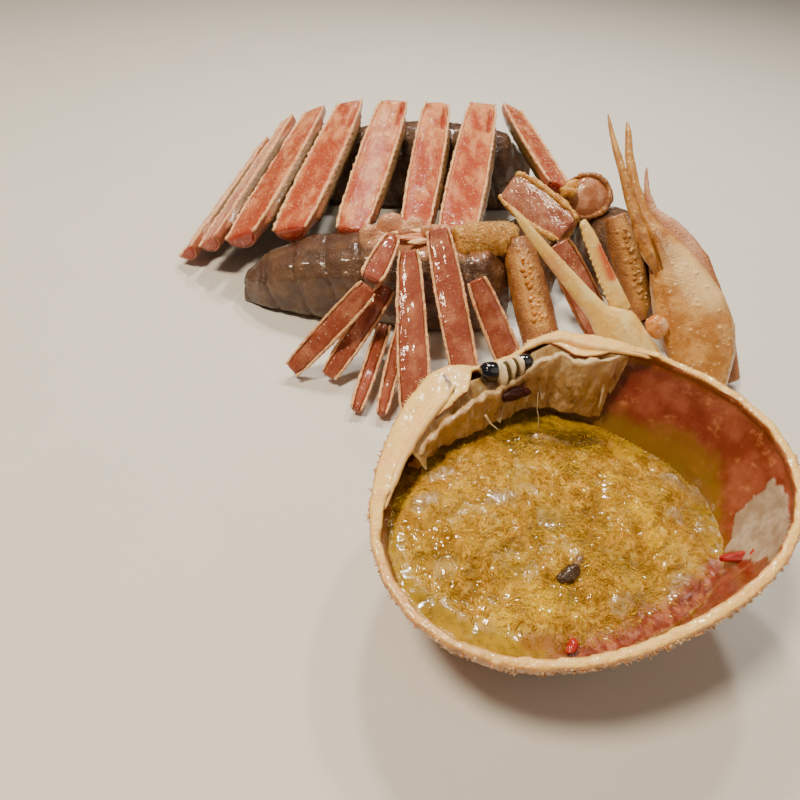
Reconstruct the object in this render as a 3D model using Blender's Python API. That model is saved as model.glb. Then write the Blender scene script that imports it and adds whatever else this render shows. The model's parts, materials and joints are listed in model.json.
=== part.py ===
"""A snow crab taken apart and laid out, as a still life-size model.

The shell is turned over as a bowl at the front, with its contents in it. Behind it the
split legs hang from one half of the body in a fan, and their long upper joints run away
from the viewer in a row that both halves of the body carry. The two claws and their arms
are heaped at the right. Lengths are in millimetres until a mesh is made, X runs to the
right, Y runs away from the viewer, and the floor is at Z = 0.
"""

import math
import random
from dataclasses import dataclass

import bmesh
import bpy
from mathutils import Matrix, Vector

MM = 0.001
NAME = "snow_crab"
GAP = 0.3
SEED = 41
HULL_JITTER = 0.02
WELD = 0.03
SPINE_SIDES = 5
SPINE_SUNK = 0.6
LAYOUT_CENTRE = (-8.15, 1.65)
TO_VIEWER = Vector((-0.28, -0.80, 0.53)).normalized()

# Shell bowl: radius by angle from the animal's front, in cosine terms
SHELL_CENTRE = Vector((35.3, -139.5, 0.0))
SHELL_YAW = math.radians(114.0)
SHELL_RADIUS = (64.5, 8.6, -4.5, 2.67, 1.15)
SHELL_RIM = 50.0
SHELL_TILT_FORWARD = 0.07
SHELL_TILT_RIGHT = 0.13
SHELL_WALL = 2.2
RIM_SPINES = 60
DOME_TUBERCLES = 26
GOLDEN_ANGLE = math.pi * (3 - math.sqrt(5))
SHELL_PROFILE = (
    (0.0, 0.34), (0.08, 0.52), (0.22, 0.68), (0.42, 0.80), (0.62, 0.885), (0.82, 0.955), (1.0, 1.0),
)
FRONT_HALF_SPAN = 60.0
FRONT_STEPS = 26
BACK_STEPS = 22

# Notch in the front rim for the eyes: how deep it is, by angle from the front in degrees
EYE_NOTCH = (
    (-180, 0.0), (-22, 0.0), (-15, 2.5), (-10, 7.5), (-4, 10.5), (3, 10.5), (9, 8.5), (15, 4.0),
    (23, 0.0), (180, 0.0),
)
NOTCH_FADE = 6.0

# How far the rim turns in and how far its edge stands up, by angle from the front in degrees
LIP = (
    (-180, 3.6, 0.0), (-78, 3.6, 0.0), (-60, 8.6, 0.6), (-48, 9.4, 1.0), (-37, 12.6, 1.5), (-28, 16.2, 2.0),
    (-19, 16.6, 2.2), (-15, 12.5, 1.6), (-9, 3.0, 0.0), (4, 3.0, 0.0), (16, 4.0, 3.0), (24, 11.6, 4.0),
    (29, 15.4, 3.5), (37, 12.8, 3.8), (44, 7.0, 3.5), (53, 3.8, 2.0), (66, 3.6, 0.0), (180, 3.6, 0.0),
)

# Contents of the shell: edge height by angle and a low mound
FILL_EDGE = 31.0
FILL_EDGE_LEAN = 3.5
FILL_MOUND = 6.0
FILL_LUMP = 1.6

# Split limbs: wall, depth, and the width along the length as a share of the full one
LIMB_WALL = 1.2
LIMB_STATIONS = ((0.0, 0.80), (0.1, 0.93), (0.35, 1.0), (0.65, 0.99), (0.9, 0.90), (1.0, 0.76))
ARC_STEPS = 7
FLESH_SINK = 0.7
FLESH_DOME = 0.5


@dataclass(frozen=True)
class Limb:
    """A limb joint split along its length: a trough of shell with flesh in it."""

    name: str
    near: tuple
    far: tuple
    width_near: float
    width_far: float
    depth: float
    face: tuple


def lean(degrees):
    """The direction that a cut face looks in when its left edge is this much lower than its right edge."""
    angle = math.radians(degrees)
    return (-math.sin(angle), 0.0, math.cos(angle))


MERUS_DEPTH = 11.0
SHIN_DEPTH = 7.5
SHIN_FACE = (0.0, -0.75, 0.66)

MERI = (
    Limb("merus_1", (0.2, 38, 43), (22, 194, 62.4), 24.2, 23.4, MERUS_DEPTH, lean(0)),
    Limb("merus_2", (-22.4, 38, 43), (-10, 193, 61.2), 18.3, 22.6, MERUS_DEPTH, lean(0)),
    Limb("merus_3", (-56.4, 38, 43), (-40.4, 193, 61.2), 20.5, 25, MERUS_DEPTH, lean(3)),
    Limb("merus_4", (-90, 40, 40), (-70.9, 192, 59.3), 25.2, 24, MERUS_DEPTH, lean(15)),
    Limb("merus_5", (-119, 44, 32), (-96.4, 192, 53.3), 26, 22, MERUS_DEPTH, lean(26)),
    Limb("merus_6", (-141, 52, 23), (-116, 190, 46.5), 20, 15, 10, lean(40)),
    Limb("merus_7", (-158, 60, 11), (-134, 186, 31), 18.6, 14.4, 9, lean(48)),
    Limb("merus_8", (65, 98, 47), (43, 196, 60.5), 23, 21, 10, lean(-24)),
)

SHINS = (
    Limb("shin_1", (-78.5, -38.5, 6), (-42.5, -20.5, 43.5), 11, 13, 7, SHIN_FACE),
    Limb("shin_2", (-60, -41, 6), (-34, -7, 36), 10.5, 12, 6.5, SHIN_FACE),
    Limb("shin_3", (-44.5, -62, 6), (-34.5, -11, 17), 7.5, 8.5, 5.5, SHIN_FACE),
    Limb("shin_4", (-33, -64, 6), (-25, -9, 19), 7, 8.5, 5.5, SHIN_FACE),
    Limb("shin_5", (-17.5, -66, 6), (-24.8, 1, 52.5), 16.8, 13, SHIN_DEPTH, SHIN_FACE),
    Limb("shin_6", (8, -52, 5.5), (-11, 16, 56.5), 14.5, 15.5, SHIN_DEPTH, SHIN_FACE),
    Limb("shin_7", (33.5, -41, 4.5), (8, -13, 46), 14.5, 12.5, SHIN_DEPTH, SHIN_FACE),
    Limb("shin_8", (-62, 92, 9), (20, 104, 9), 12, 10, 7, (0.0, 0.0, 1.0)),
)

CARPUS = Limb("carpus_1", (-41.4, -17, 47), (-32.4, 10, 55), 13, 9.6, 6, SHIN_FACE)


def new_material(name, colour, roughness):
    """A Principled material of one colour."""
    material = bpy.data.materials.new(name)
    material.use_nodes = True
    shader = material.node_tree.nodes["Principled BSDF"]
    shader.inputs["Base Color"].default_value = (*colour, 1.0)
    shader.inputs["Roughness"].default_value = roughness
    shader.inputs["Metallic"].default_value = 0.0
    return material


SHELL_CREAM = ((0.83, 0.60, 0.42), 0.4)
SHELL_ORANGE = ((0.62, 0.27, 0.09), 0.45)
SHELL_BROWN = ((0.42, 0.24, 0.12), 0.5)
LEG_FLESH = ((0.72, 0.28, 0.22), 0.25)
CLAW_IVORY = ((0.86, 0.66, 0.40), 0.35)
CLAW_TAN = ((0.72, 0.50, 0.28), 0.4)
BODY_PINK = ((0.74, 0.42, 0.32), 0.35)
CONTENTS_OCHRE = ((0.62, 0.42, 0.08), 0.3)
MEMBRANE = ((0.72, 0.62, 0.48), 0.2)
EYE_BLACK = ((0.02, 0.02, 0.03), 0.1)


class Model:
    """The collections and the parent of every piece."""

    def __init__(self):
        self.parts = bpy.data.collections.new(NAME)
        self.cutters = bpy.data.collections.new("cutters")
        self.cutters.hide_render = True
        for collection in (self.parts, self.cutters):
            bpy.context.scene.collection.children.link(collection)
        self.root = bpy.data.objects.new(NAME + "_origin", None)
        self.root.location = Vector((-LAYOUT_CENTRE[0], -LAYOUT_CENTRE[1], 0.0)) * MM
        self.parts.objects.link(self.root)

    def add(self, name, bm, finish):
        """A named piece from a closed mesh in millimetres, under the model's origin."""
        obj = self.mesh_object(name, bm, self.parts)
        obj.data.materials.append(new_material(name, *finish))
        obj.parent = self.root
        obj.data.shade_smooth()
        obj.data.set_sharp_from_angle(angle=math.radians(45))
        return obj

    def add_cutter(self, name, bm):
        """A closed helper mesh that takes part in Booleans only."""
        obj = self.mesh_object(name, bm, self.cutters)
        obj.parent = self.root
        obj.hide_render = True
        obj.display_type = "WIRE"
        return obj

    @staticmethod
    def mesh_object(name, bm, collection):
        bmesh.ops.recalc_face_normals(bm, faces=bm.faces)
        if bm.calc_volume(signed=True) < 0:
            bmesh.ops.reverse_faces(bm, faces=bm.faces)
        bmesh.ops.scale(bm, vec=(MM, MM, MM), verts=bm.verts)
        mesh = bpy.data.meshes.new(name)
        bm.to_mesh(mesh)
        bm.free()
        obj = bpy.data.objects.new(name, mesh)
        collection.objects.link(obj)
        return obj


def clear_scene():
    """Remove whatever the file starts with."""
    for obj in list(bpy.data.objects):
        bpy.data.objects.remove(obj, do_unlink=True)


def mix(a, b, share):
    """The value between a and b at this share."""
    return a + (b - a) * share


def bridge(bm, rows):
    """Faces between rings of equally many points, each ring closed."""
    for low, high in zip(rows, rows[1:]):
        for i, _ in enumerate(low):
            j = (i + 1) % len(low)
            bm.faces.new((low[i], low[j], high[j], high[i]))


def loft(rings):
    """A closed skin through rings of points, with its two ends capped."""
    bm = bmesh.new()
    rows = [[bm.verts.new(point) for point in ring] for ring in rings]
    bridge(bm, rows)
    bm.faces.new(rows[0])
    bm.faces.new(rows[-1])
    bmesh.ops.triangulate(bm, faces=bm.faces)
    return bm


def frame_along(start, end, face):
    """Unit directions along, to the right of and out of a piece whose face looks this way."""
    along = (Vector(end) - Vector(start)).normalized()
    side = along.cross(Vector(face)).normalized()
    return along, side, side.cross(along)


def limb_rings(limb, section):
    """Rings along a limb. The section gives points as (right, out) for a width and a depth."""
    along, side, out = frame_along(limb.near, limb.far, limb.face)
    length = (Vector(limb.far) - Vector(limb.near)).length
    rings = []
    for share, girth in LIMB_STATIONS:
        centre = Vector(limb.near) + along * (share * length)
        width = girth * mix(limb.width_near, limb.width_far, share)
        depth = limb.depth * mix(1.0, girth, 0.7)
        rings.append([centre + side * x + out * y for x, y in section(width, depth)])
    return rings


def half_oval(width, depth, inset):
    """The lower half of an oval, right edge to left edge, this far inside the full size."""
    points = []
    for step in range(ARC_STEPS + 1):
        angle = math.pi * step / ARC_STEPS
        x = (width / 2 - inset) * math.cos(angle)
        y = -(depth - inset) * math.sin(angle) ** 0.85
        points.append((x, y))
    return points


def shell_section(width, depth):
    """A trough: the outer arc and back along the inner one."""
    return half_oval(width, depth, 0.0) + half_oval(width, depth, LIMB_WALL)[::-1]


def flesh_section(width, depth):
    """What fills the trough: the arc just inside its wall, and a slightly domed face."""
    inset = LIMB_WALL + GAP * 1.35
    arc = half_oval(width, depth, inset)
    arc = [(x, min(y, -FLESH_SINK)) for x, y in arc]
    half = width / 2 - inset
    dome = [(half * x, -FLESH_SINK + FLESH_DOME) for x in (-0.55, 0.55)]
    return arc + dome


def split_limb(model, limb, shell_finish, flesh_finish):
    """The shell and the flesh of one half limb."""
    shell = model.add(limb.name + "_shell", loft(limb_rings(limb, shell_section)), shell_finish)
    flesh = model.add(limb.name + "_flesh", loft(limb_rings(limb, flesh_section)), flesh_finish)
    return [shell, flesh]


def evaluated(obj):
    """Put the result of the object's modifiers into its mesh."""
    graph = bpy.context.evaluated_depsgraph_get()
    mesh = bpy.data.meshes.new_from_object(obj.evaluated_get(graph))
    obj.modifiers.clear()
    obj.data = mesh


def keep_largest(obj):
    """Keep only the closed surface that encloses the most."""
    bm = bmesh.new()
    bm.from_mesh(obj.data)
    left = set(bm.faces)
    groups = []
    while left:
        front = [left.pop()]
        group = set(front)
        while front:
            face = front.pop()
            for edge in face.edges:
                for other in edge.link_faces:
                    if other in left:
                        left.discard(other)
                        group.add(other)
                        front.append(other)
        groups.append(group)
    groups.sort(key=lambda group: sum(face.calc_area() for face in group))
    for group in groups[:-1]:
        bmesh.ops.delete(bm, geom=list(group), context="FACES")
    bm.to_mesh(obj.data)
    bm.free()


def without_slivers(obj):
    """Merge points that a Boolean left almost together, where the mesh stays closed."""
    bm = bmesh.new()
    bm.from_mesh(obj.data)
    bmesh.ops.remove_doubles(bm, verts=bm.verts, dist=WELD * MM)
    bmesh.ops.dissolve_degenerate(bm, edges=bm.edges, dist=WELD * MM)
    bmesh.ops.triangulate(bm, faces=bm.faces)
    if all(edge.is_manifold for edge in bm.edges):
        bm.to_mesh(obj.data)
    bm.free()


def boolean(obj, others, operation, solver="EXACT"):
    """One Boolean of the object with a collection of closed meshes, which are then removed."""
    group = bpy.data.collections.new("operands")
    bpy.context.scene.collection.children.link(group)
    for other in others:
        for owner in list(other.users_collection):
            owner.objects.unlink(other)
        group.objects.link(other)
    modifier = obj.modifiers.new(operation.lower(), "BOOLEAN")
    modifier.operation = operation
    modifier.operand_type = "COLLECTION"
    modifier.collection = group
    modifier.solver = solver
    evaluated(obj)
    for other in others:
        bpy.data.objects.remove(other, do_unlink=True)
    bpy.data.collections.remove(group)
    keep_largest(obj)
    without_slivers(obj)


def points_of(obj):
    """The object's points in millimetres, in the layout's own frame."""
    return [vertex.co / MM for vertex in obj.data.vertices]


def jitter():
    """A tiny seeded offset that keeps a hull's points from lying in one plane."""
    return Vector([random.uniform(-HULL_JITTER, HULL_JITTER) for _ in range(3)])


def seat(model, objects, lift=30.0, gap=GAP):
    """A cutter that lets these pieces drop into a body: their hull, grown by the gap and drawn upwards."""
    bm = bmesh.new()
    corners = [Vector((x, y, z)) * gap for x in (-1, 1) for y in (-1, 1) for z in (-1, 1)]
    for obj in objects:
        for point in points_of(obj):
            for corner in corners:
                bm.verts.new(point + corner + jitter())
            bm.verts.new(point + Vector((0, 0, lift)) + jitter())
    bmesh.ops.convex_hull(bm, input=bm.verts, use_existing_faces=False)
    bmesh.ops.delete(bm, geom=[vertex for vertex in bm.verts if not vertex.link_faces], context="VERTS")
    bmesh.ops.triangulate(bm, faces=bm.faces)
    return model.add_cutter("seat_" + objects[0].name, bm)


def on_floor(bm, level=0.0):
    """Cut a mesh off flat at the floor and close it."""
    geometry = bm.verts[:] + bm.edges[:] + bm.faces[:]
    cut = bmesh.ops.bisect_plane(
        bm, geom=geometry, plane_co=(0, 0, level), plane_no=(0, 0, -1), clear_outer=True,
    )
    edges = [g for g in cut["geom_cut"] if isinstance(g, bmesh.types.BMEdge)]
    if edges:
        bmesh.ops.contextual_create(bm, geom=edges)
    bmesh.ops.triangulate(bm, faces=bm.faces)


def oval_ring(centre, side, out, width, thickness, count, square=1.0):
    """Points round an oval. A square value under 1 gives fuller corners."""
    ring = []
    for step in range(count):
        angle = 2 * math.pi * step / count
        x = math.copysign(abs(math.cos(angle)) ** square, math.cos(angle)) * width / 2
        y = math.copysign(abs(math.sin(angle)) ** square, math.sin(angle)) * thickness / 2
        ring.append(centre + side * x + out * y)
    return ring


def ball(centre, radii, segments=8, rings=6):
    """A closed ellipsoid for a union."""
    bm = bmesh.new()
    bmesh.ops.create_uvsphere(bm, u_segments=segments, v_segments=rings, radius=1.0)
    bmesh.ops.scale(bm, vec=radii, verts=bm.verts)
    bmesh.ops.translate(bm, vec=centre, verts=bm.verts)
    return bm


def spine(model, foot, outward, radius, height):
    """A short cone for a union, its root sunk into what it grows from."""
    sunk = height * SPINE_SUNK
    bm = bmesh.new()
    bmesh.ops.create_cone(
        bm, cap_ends=True, segments=SPINE_SIDES, radius1=radius * (1 + SPINE_SUNK), radius2=0.0,
        depth=height + sunk,
    )
    turn = Vector((0, 0, 1)).rotation_difference(outward)
    middle = foot + outward * ((height - sunk) / 2)
    bmesh.ops.transform(bm, matrix=Matrix.LocRotScale(middle, turn, None), verts=bm.verts)
    return model.add_cutter("spine", bm)


def vary(value, share):
    """A value with a seeded change of up to this share of it."""
    return value * random.uniform(1 - share, 1 + share)


def grow_spines(model, obj, roots, solver="EXACT"):
    """Fuse spines to a piece, from rows of (foot, outward, radius, height)."""
    boolean(obj, [spine(model, *root) for root in roots], "UNION", solver)


# Shell bowl

def table_value(table, value, column):
    """A column of a table at this value of its first column, eased between the rows."""
    for low, high in zip(table, table[1:]):
        if low[0] <= value <= high[0]:
            share = (value - low[0]) / (high[0] - low[0])
            return mix(low[column], high[column], share * share * (3 - 2 * share))
    return table[0][column]


def wrapped_degrees(angle):
    """The angle in degrees, between -180 and 180."""
    return (math.degrees(angle) + 180.0) % 360.0 - 180.0


def shell_radius(angle, radius_share=1.0):
    """Distance of the rim from the shell's centre, seen from above, less its notch for the eyes."""
    notch = table_value(EYE_NOTCH, wrapped_degrees(angle), 1) * radius_share ** NOTCH_FADE
    return sum(term * math.cos(order * angle) for order, term in enumerate(SHELL_RADIUS)) - notch


def shell_point(angle, radius_share, height_share, inward=0.0, raised=0.0):
    """A point on the bowl by angle from the front, share of the radius and share of the rim's height."""
    reach = shell_radius(angle, radius_share) * radius_share - inward
    ahead = reach * math.cos(angle)
    right = reach * math.sin(angle)
    rim = SHELL_RIM + ahead * SHELL_TILT_FORWARD + right * SHELL_TILT_RIGHT
    x = ahead * math.cos(SHELL_YAW) + right * math.sin(SHELL_YAW)
    y = ahead * math.sin(SHELL_YAW) - right * math.cos(SHELL_YAW)
    return SHELL_CENTRE + Vector((x, y, rim * height_share + raised))


def lip_width(angle):
    """How far the rim turns in at this angle."""
    return table_value(LIP, wrapped_degrees(angle), 1)


def lip_rise(angle):
    """How far the turned-in edge stands up at this angle."""
    return table_value(LIP, wrapped_degrees(angle), 2)


def shell_angles():
    """Angles round the bowl, closer together across its front."""
    front = [mix(-FRONT_HALF_SPAN, FRONT_HALF_SPAN, step / FRONT_STEPS) for step in range(FRONT_STEPS)]
    round_back = 360.0 - FRONT_HALF_SPAN
    back = [mix(FRONT_HALF_SPAN, round_back, step / BACK_STEPS) for step in range(BACK_STEPS)]
    return [math.radians(degrees) for degrees in front + back]


def shell_rings():
    """Rings from the flat under the bowl, up outside, over the lip and down inside."""
    angles = shell_angles()
    rings = [[shell_point(a, reach, height) for a in angles] for height, reach in SHELL_PROFILE]
    rings.append([shell_point(a, 1.0, 1.0, 0.9, 1.0 + lip_rise(a) * 0.5) for a in angles])
    rings.append([shell_point(a, 1.0, 1.0, lip_width(a), 0.5 + lip_rise(a)) for a in angles])
    rings.append([shell_point(a, 1.0, 1.0, lip_width(a), -1.2 + lip_rise(a)) for a in angles])
    rings.append([shell_point(a, 1.0, 1.0, SHELL_WALL + 0.6, -2.6) for a in angles])
    for height, reach in SHELL_PROFILE[-2:0:-1]:
        rings.append([shell_point(a, reach, height, SHELL_WALL, SHELL_WALL * 0.35) for a in angles])
    rings.append([shell_point(a, SHELL_PROFILE[0][1], 0.0, 0.0, SHELL_WALL) for a in angles])
    return rings


def profile_reach(height):
    """Share of the radius at this share of the rim's height, outside."""
    for (low, low_reach), (high, high_reach) in zip(SHELL_PROFILE, SHELL_PROFILE[1:]):
        if low <= height <= high:
            return mix(low_reach, high_reach, (height - low) / (high - low))
    return SHELL_PROFILE[-1][1]


def shell_outside(angle, height):
    """A point outside on the bowl and the direction straight out of it."""
    point = shell_point(angle, profile_reach(height), height)
    beside = shell_point(angle + 0.02, profile_reach(height), height) - point
    above = shell_point(angle, profile_reach(height + 0.02), height + 0.02) - point
    outward = above.cross(beside).normalized()
    radial = point - SHELL_CENTRE
    return point, outward if outward.dot(radial) > 0 else -outward


def shell_spine_roots():
    """A fringe of spines under the rim, and scattered tubercles over the dome."""
    roots = []
    for index in range(RIM_SPINES):
        angle = 2 * math.pi * (index + random.uniform(-0.2, 0.2)) / RIM_SPINES
        foot, outward = shell_outside(angle, random.uniform(0.9, 0.96))
        roots.append((foot, outward, vary(0.85, 0.2), vary(1.4, 0.3)))
    for index in range(DOME_TUBERCLES):
        angle = index * GOLDEN_ANGLE
        foot, outward = shell_outside(angle, mix(0.12, 0.78, (index + 0.5) / DOME_TUBERCLES))
        roots.append((foot, outward, vary(1.3, 0.25), vary(1.3, 0.25)))
    return roots


def make_shell(model):
    obj = model.add("carapace", loft(shell_rings()), SHELL_CREAM)
    grow_spines(model, obj, shell_spine_roots())
    return obj


def fill_edge(angle):
    """Height of the contents where they meet the wall, as a share of the rim's height."""
    height = FILL_EDGE + FILL_EDGE_LEAN * math.cos(angle - math.radians(-70.0))
    rim = shell_point(angle, 1.0, 1.0).z
    return height / rim


def make_filling(model):
    """The contents: below they follow the wall, above they rise in a lumpy mound."""
    angles = shell_angles()
    inset = SHELL_WALL + GAP * 1.6
    floor = SHELL_WALL + GAP * 1.6
    rings = [[shell_point(a, SHELL_PROFILE[0][1] * 0.96, 0.0, 0.0, floor) for a in angles]]
    for height, reach in ((0.08, 0.52), (0.22, 0.68), (0.42, 0.80)):
        rings.append([shell_point(a, reach, height, inset + 0.4, SHELL_WALL * 0.35 + 0.5) for a in angles])
    rings.append([edge_point(a, inset + 0.5) for a in angles])
    for share in (0.86, 0.66, 0.42, 0.18):
        ring = []
        for a in angles:
            edge = edge_point(a, inset + 0.5)
            centre = Vector((SHELL_CENTRE.x, SHELL_CENTRE.y, FILL_EDGE))
            point = centre.lerp(edge, share)
            point.z += FILL_MOUND * (1 - share * share) + lump(point.x, point.y) * (1 - share ** 4)
            ring.append(point)
        rings.append(ring)
    return model.add("carapace_filling", loft(rings), CONTENTS_OCHRE)


def edge_point(angle, inset):
    """Where the contents meet the wall at this angle."""
    height = fill_edge(angle)
    return shell_point(angle, profile_reach(height), height, inset)


def lump(x, y):
    """Gentle lumps over the contents."""
    return FILL_LUMP * (math.sin(x * 0.17 + 1.3) * math.sin(y * 0.15) + 0.5 * math.sin(x * 0.33 - y * 0.29))


def fill_top(angle, inset):
    """Height of the contents at this angle and distance in from the rim."""
    edge = edge_point(angle, SHELL_WALL + GAP)
    centre = Vector((SHELL_CENTRE.x, SHELL_CENTRE.y, FILL_EDGE))
    across = (edge - centre)
    across.z = 0.0
    share = 1.0 - (inset - SHELL_WALL) / across.length
    return mix(centre.z, edge.z, share) + FILL_MOUND * (1 - share * share) + FILL_LUMP


# Curtain of membrane at the front: distance in from the circle of the rim at its top and foot, by angle
CURTAIN = (
    (-50, 10.8, 10.5), (-37, 14.2, 14.5), (-28, 18.0, 19.0), (-19, 20.5, 22.5), (-13, 20.5, 23.5),
    (-7, 21.5, 22.5), (-1, 20.5, 24.5), (5, 19.5, 20.0), (11, 16.5, 18.0), (17, 14.5, 16.5),
    (23, 13.2, 14.0), (29, 17.0, 16.5), (36, 14.6, 14.5), (44, 8.6, 11.0),
)
CURTAIN_STEPS = 22
CURTAIN_THICKNESS = 2.4


def rim_inside(angle, inset, height):
    """A point at this height, this far in from the circle of the rim and clear of the wall."""
    notch = table_value(EYE_NOTCH, wrapped_degrees(angle), 1)
    share = profile_reach(min(height / shell_point(angle, 1.0, 1.0).z, 1.0))
    wall = shell_radius(angle, 0.0) - shell_radius(angle, share) * share + SHELL_WALL + GAP * 2
    point = shell_point(angle, 1.0, 1.0, max(inset, wall) - notch)
    return Vector((point.x, point.y, height))


def make_mouth_frame(model, eyes):
    """The curtain of membrane from the front rim down to the contents, with the eyes' seats."""
    rings = []
    for step in range(CURTAIN_STEPS + 1):
        degrees = mix(CURTAIN[0][0], CURTAIN[-1][0], step / CURTAIN_STEPS)
        angle = math.radians(degrees)
        top_in = table_value(CURTAIN, degrees, 1)
        foot_in = table_value(CURTAIN, degrees, 2)
        thick = CURTAIN_THICKNESS * (1.0 + 0.25 * math.sin(degrees * 0.7))
        rim = shell_point(angle, 1.0, 1.0).z + lip_rise(angle)
        top = rim - 1.6 + 0.5 * math.sin(degrees * 0.9)
        foot = fill_top(angle, foot_in) + GAP * 1.5
        waist = mix(top_in, foot_in, 0.35)
        rings.append([
            rim_inside(angle, top_in, top), rim_inside(angle, waist, mix(top, foot, 0.5)),
            rim_inside(angle, foot_in - thick, foot), rim_inside(angle, foot_in + thick, foot),
            rim_inside(angle, waist + thick * 1.1, mix(top, foot, 0.5)),
            rim_inside(angle, top_in + thick, top),
        ])
    frame = model.add("mouth_frame", loft(rings), MEMBRANE)
    for eye in eyes:
        boolean(frame, [seat(model, [eye], 0.0)], "DIFFERENCE")
    return frame


EYES = (
    ("eye_left", (9.5, -90.0, 54.5), (-0.93, -0.25, 0.12)),
    ("eye_right", (18.9, -85.5, 55.4), (0.9, 0.25, 0.1)),
)
EYE_RADIUS = 3.0
EYE_GIRTHS = ((-4.6, 0.5), (-3.2, 0.74), (-1.6, 0.7), (-0.8, 0.92), (1.4, 1.0), (3.2, 0.9), (4.4, 0.5))


def make_eyes(model):
    """Two eyes: a short stalk and a rounded cornea at its end."""
    eyes = []
    for name, place, direction in EYES:
        along = Vector(direction).normalized()
        side = along.cross(Vector((0, 0, 1))).normalized()
        out = side.cross(along)
        rings = []
        for reach, girth in EYE_GIRTHS:
            centre = Vector(place) + along * reach
            size = 2 * EYE_RADIUS * girth
            rings.append(oval_ring(centre, side, out, size, size, 10))
        eyes.append(model.add(name, loft(rings), EYE_BLACK))
    return eyes


# Claws: each station is (along, aside, width, thickness, forward) from the claw's root

CLAW_AROUND = 12
CLAW_A_ROOT = Vector((99.0, -26.0, 14.0))
CLAW_A_ALONG = Vector((-0.665, 0.34, 0.665))
CLAW_A_FACE = Vector((0.24, -0.745, 0.62))
CLAW_A_PALM = (
    (-13, -4.5, 9, 7, 0), (-7, -5, 14, 10, 0), (0, -6, 18, 12.5, 0), (6, -6.5, 22, 14, 0),
    (16, -7, 23, 15, 0), (26, -6.5, 23, 14, 0), (32, -7, 20, 12, 0),
    (38, -9.8, 11, 9, 0), (50, -11, 9, 7.5, 0), (66, -12.4, 7.5, 6.5, 0), (82, -13.5, 5.8, 5.2, 0),
    (94, -14.1, 3.8, 3.8, 0), (101, -14.3, 1.4, 1.6, 0),
)
CLAW_A_FINGER = (
    (30, 2.0, 7, 6, 0), (35, 1.6, 9.2, 8, 0), (46, 3.7, 8.6, 7, 0), (58, 6.4, 7.4, 6.2, 0),
    (70, 9.2, 5.8, 5, 0), (76.5, 10.6, 3.0, 3, 0),
)
CLAW_A_WRIST = ((8.5, 9.5, 8, 6, 2), (11, 9.5, 10.5, 8.5, 2.5), (15, 9, 10.5, 9, 3), (19, 8.8, 7, 6, 3))

CLAW_B_ROOT = Vector((125.0, -31.0, 10.5))
CLAW_B_ALONG = Vector((-0.34, 0.66, 0.67))
CLAW_B_FACE = Vector((-0.41, -0.76, 0.5))
CLAW_B_PALM = (
    (-10, 0, 9, 7, 0), (0, 0, 20, 13, 0), (8, 0, 28.5, 16, 0), (20, 0.3, 34, 18, 0), (35, 0.3, 33, 17, 0),
    (50, -0.5, 26.5, 14.5, 0), (62, -1.2, 18.5, 12, 0), (70, -2, 13, 9.5, 0), (78, -4.6, 8.6, 7.5, 0),
    (86, -6.2, 6.2, 6, 0), (100, -6.1, 5.2, 5.2, 0), (116, -4.2, 4.2, 4.4, 0), (127, -1.4, 3, 3, 0),
    (131.5, -0.7, 1.1, 1.4, 0),
)
CLAW_B_FINGER = (
    (56, -8.5, 6.4, 6, 4), (64, -9.8, 7, 7, 5), (80, -9.9, 6.2, 6, 6), (95, -9.6, 5.2, 5.2, 6.4),
    (108, -9.1, 4.2, 4.4, 6.8), (119, -9.0, 3.2, 3.4, 7), (130, -8.3, 2.2, 2.4, 7.2),
    (137, -7.6, 0.9, 1, 7.4),
)
CLAW_C_ROOT = Vector((141.0, -20.0, 11.0))
CLAW_C_ALONG = Vector((-0.44, 0.60, 0.667))
CLAW_C_STATIONS = (
    (-9, -4, 7, 5, 0), (0, -4, 12, 7, 0), (8, -4.5, 17, 9, 0), (20, -4.5, 21, 10, 0),
    (38, -3.6, 22, 9.5, 0), (54, -2, 19.5, 8, 0), (66, -2, 13.5, 7, 0), (76, -3.4, 9, 5.5, 0),
    (86, -7.4, 4.6, 4.2, 0), (95, -7.0, 3.6, 3.6, 0), (102, -4.6, 2.2, 2.4, 0), (107, -2.4, 0.9, 1, 0),
)


def claw_frame(along, face):
    along = along.normalized()
    side = along.cross(face).normalized()
    return along, side, side.cross(along)


def claw_loft(root, along, face, stations):
    """A claw piece through oval sections at stations from its root."""
    along, side, out = claw_frame(along, face)
    rings = []
    for reach, aside, width, thickness, forward in stations:
        centre = root + along * reach + side * aside + out * forward
        rings.append(oval_ring(centre, side, out, width, thickness, CLAW_AROUND))
    return loft(rings)


def station_at(stations, reach):
    """The claw's centre offset, width and thickness between two of its stations."""
    for low, high in zip(stations, stations[1:]):
        if low[0] <= reach <= high[0]:
            share = (reach - low[0]) / (high[0] - low[0])
            return [mix(a, b, share) for a, b in zip(low, high)]
    return list(stations[-1])


def edge_teeth(root, along, face, stations, first, last, count, hand, radius, height):
    """Roots of a row of teeth along a finger's right edge where hand is 1, its left where it is -1."""
    along, side, out = claw_frame(along, face)
    roots = []
    for index in range(count):
        reach, aside, width, _, forward = station_at(stations, mix(first, last, index / (count - 1)))
        foot = root + along * reach + side * (aside + hand * width * 0.47) + out * forward
        outward = (side * hand + along * random.uniform(-0.15, 0.25)).normalized()
        roots.append((foot, outward, vary(radius, 0.15), vary(height, 0.25)))
    return roots


def face_tubercles(root, along, face, stations, first, last, count, radius):
    """Roots of tubercles scattered over the broad face of a claw piece."""
    along, side, out = claw_frame(along, face)
    roots = []
    for index in range(count):
        share = (index + 0.5) / count
        reach, aside, width, thickness, forward = station_at(stations, mix(first, last, share))
        across = 0.38 * math.sin(index * GOLDEN_ANGLE)
        rise = math.sqrt(1 - (2 * across) ** 2) * thickness / 2
        foot = root + along * reach + side * (aside + across * width) + out * (forward + rise * 0.98)
        outward = (out + side * across * 1.4).normalized()
        roots.append((foot, outward, vary(radius, 0.2), vary(radius, 0.2)))
    return roots


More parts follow.
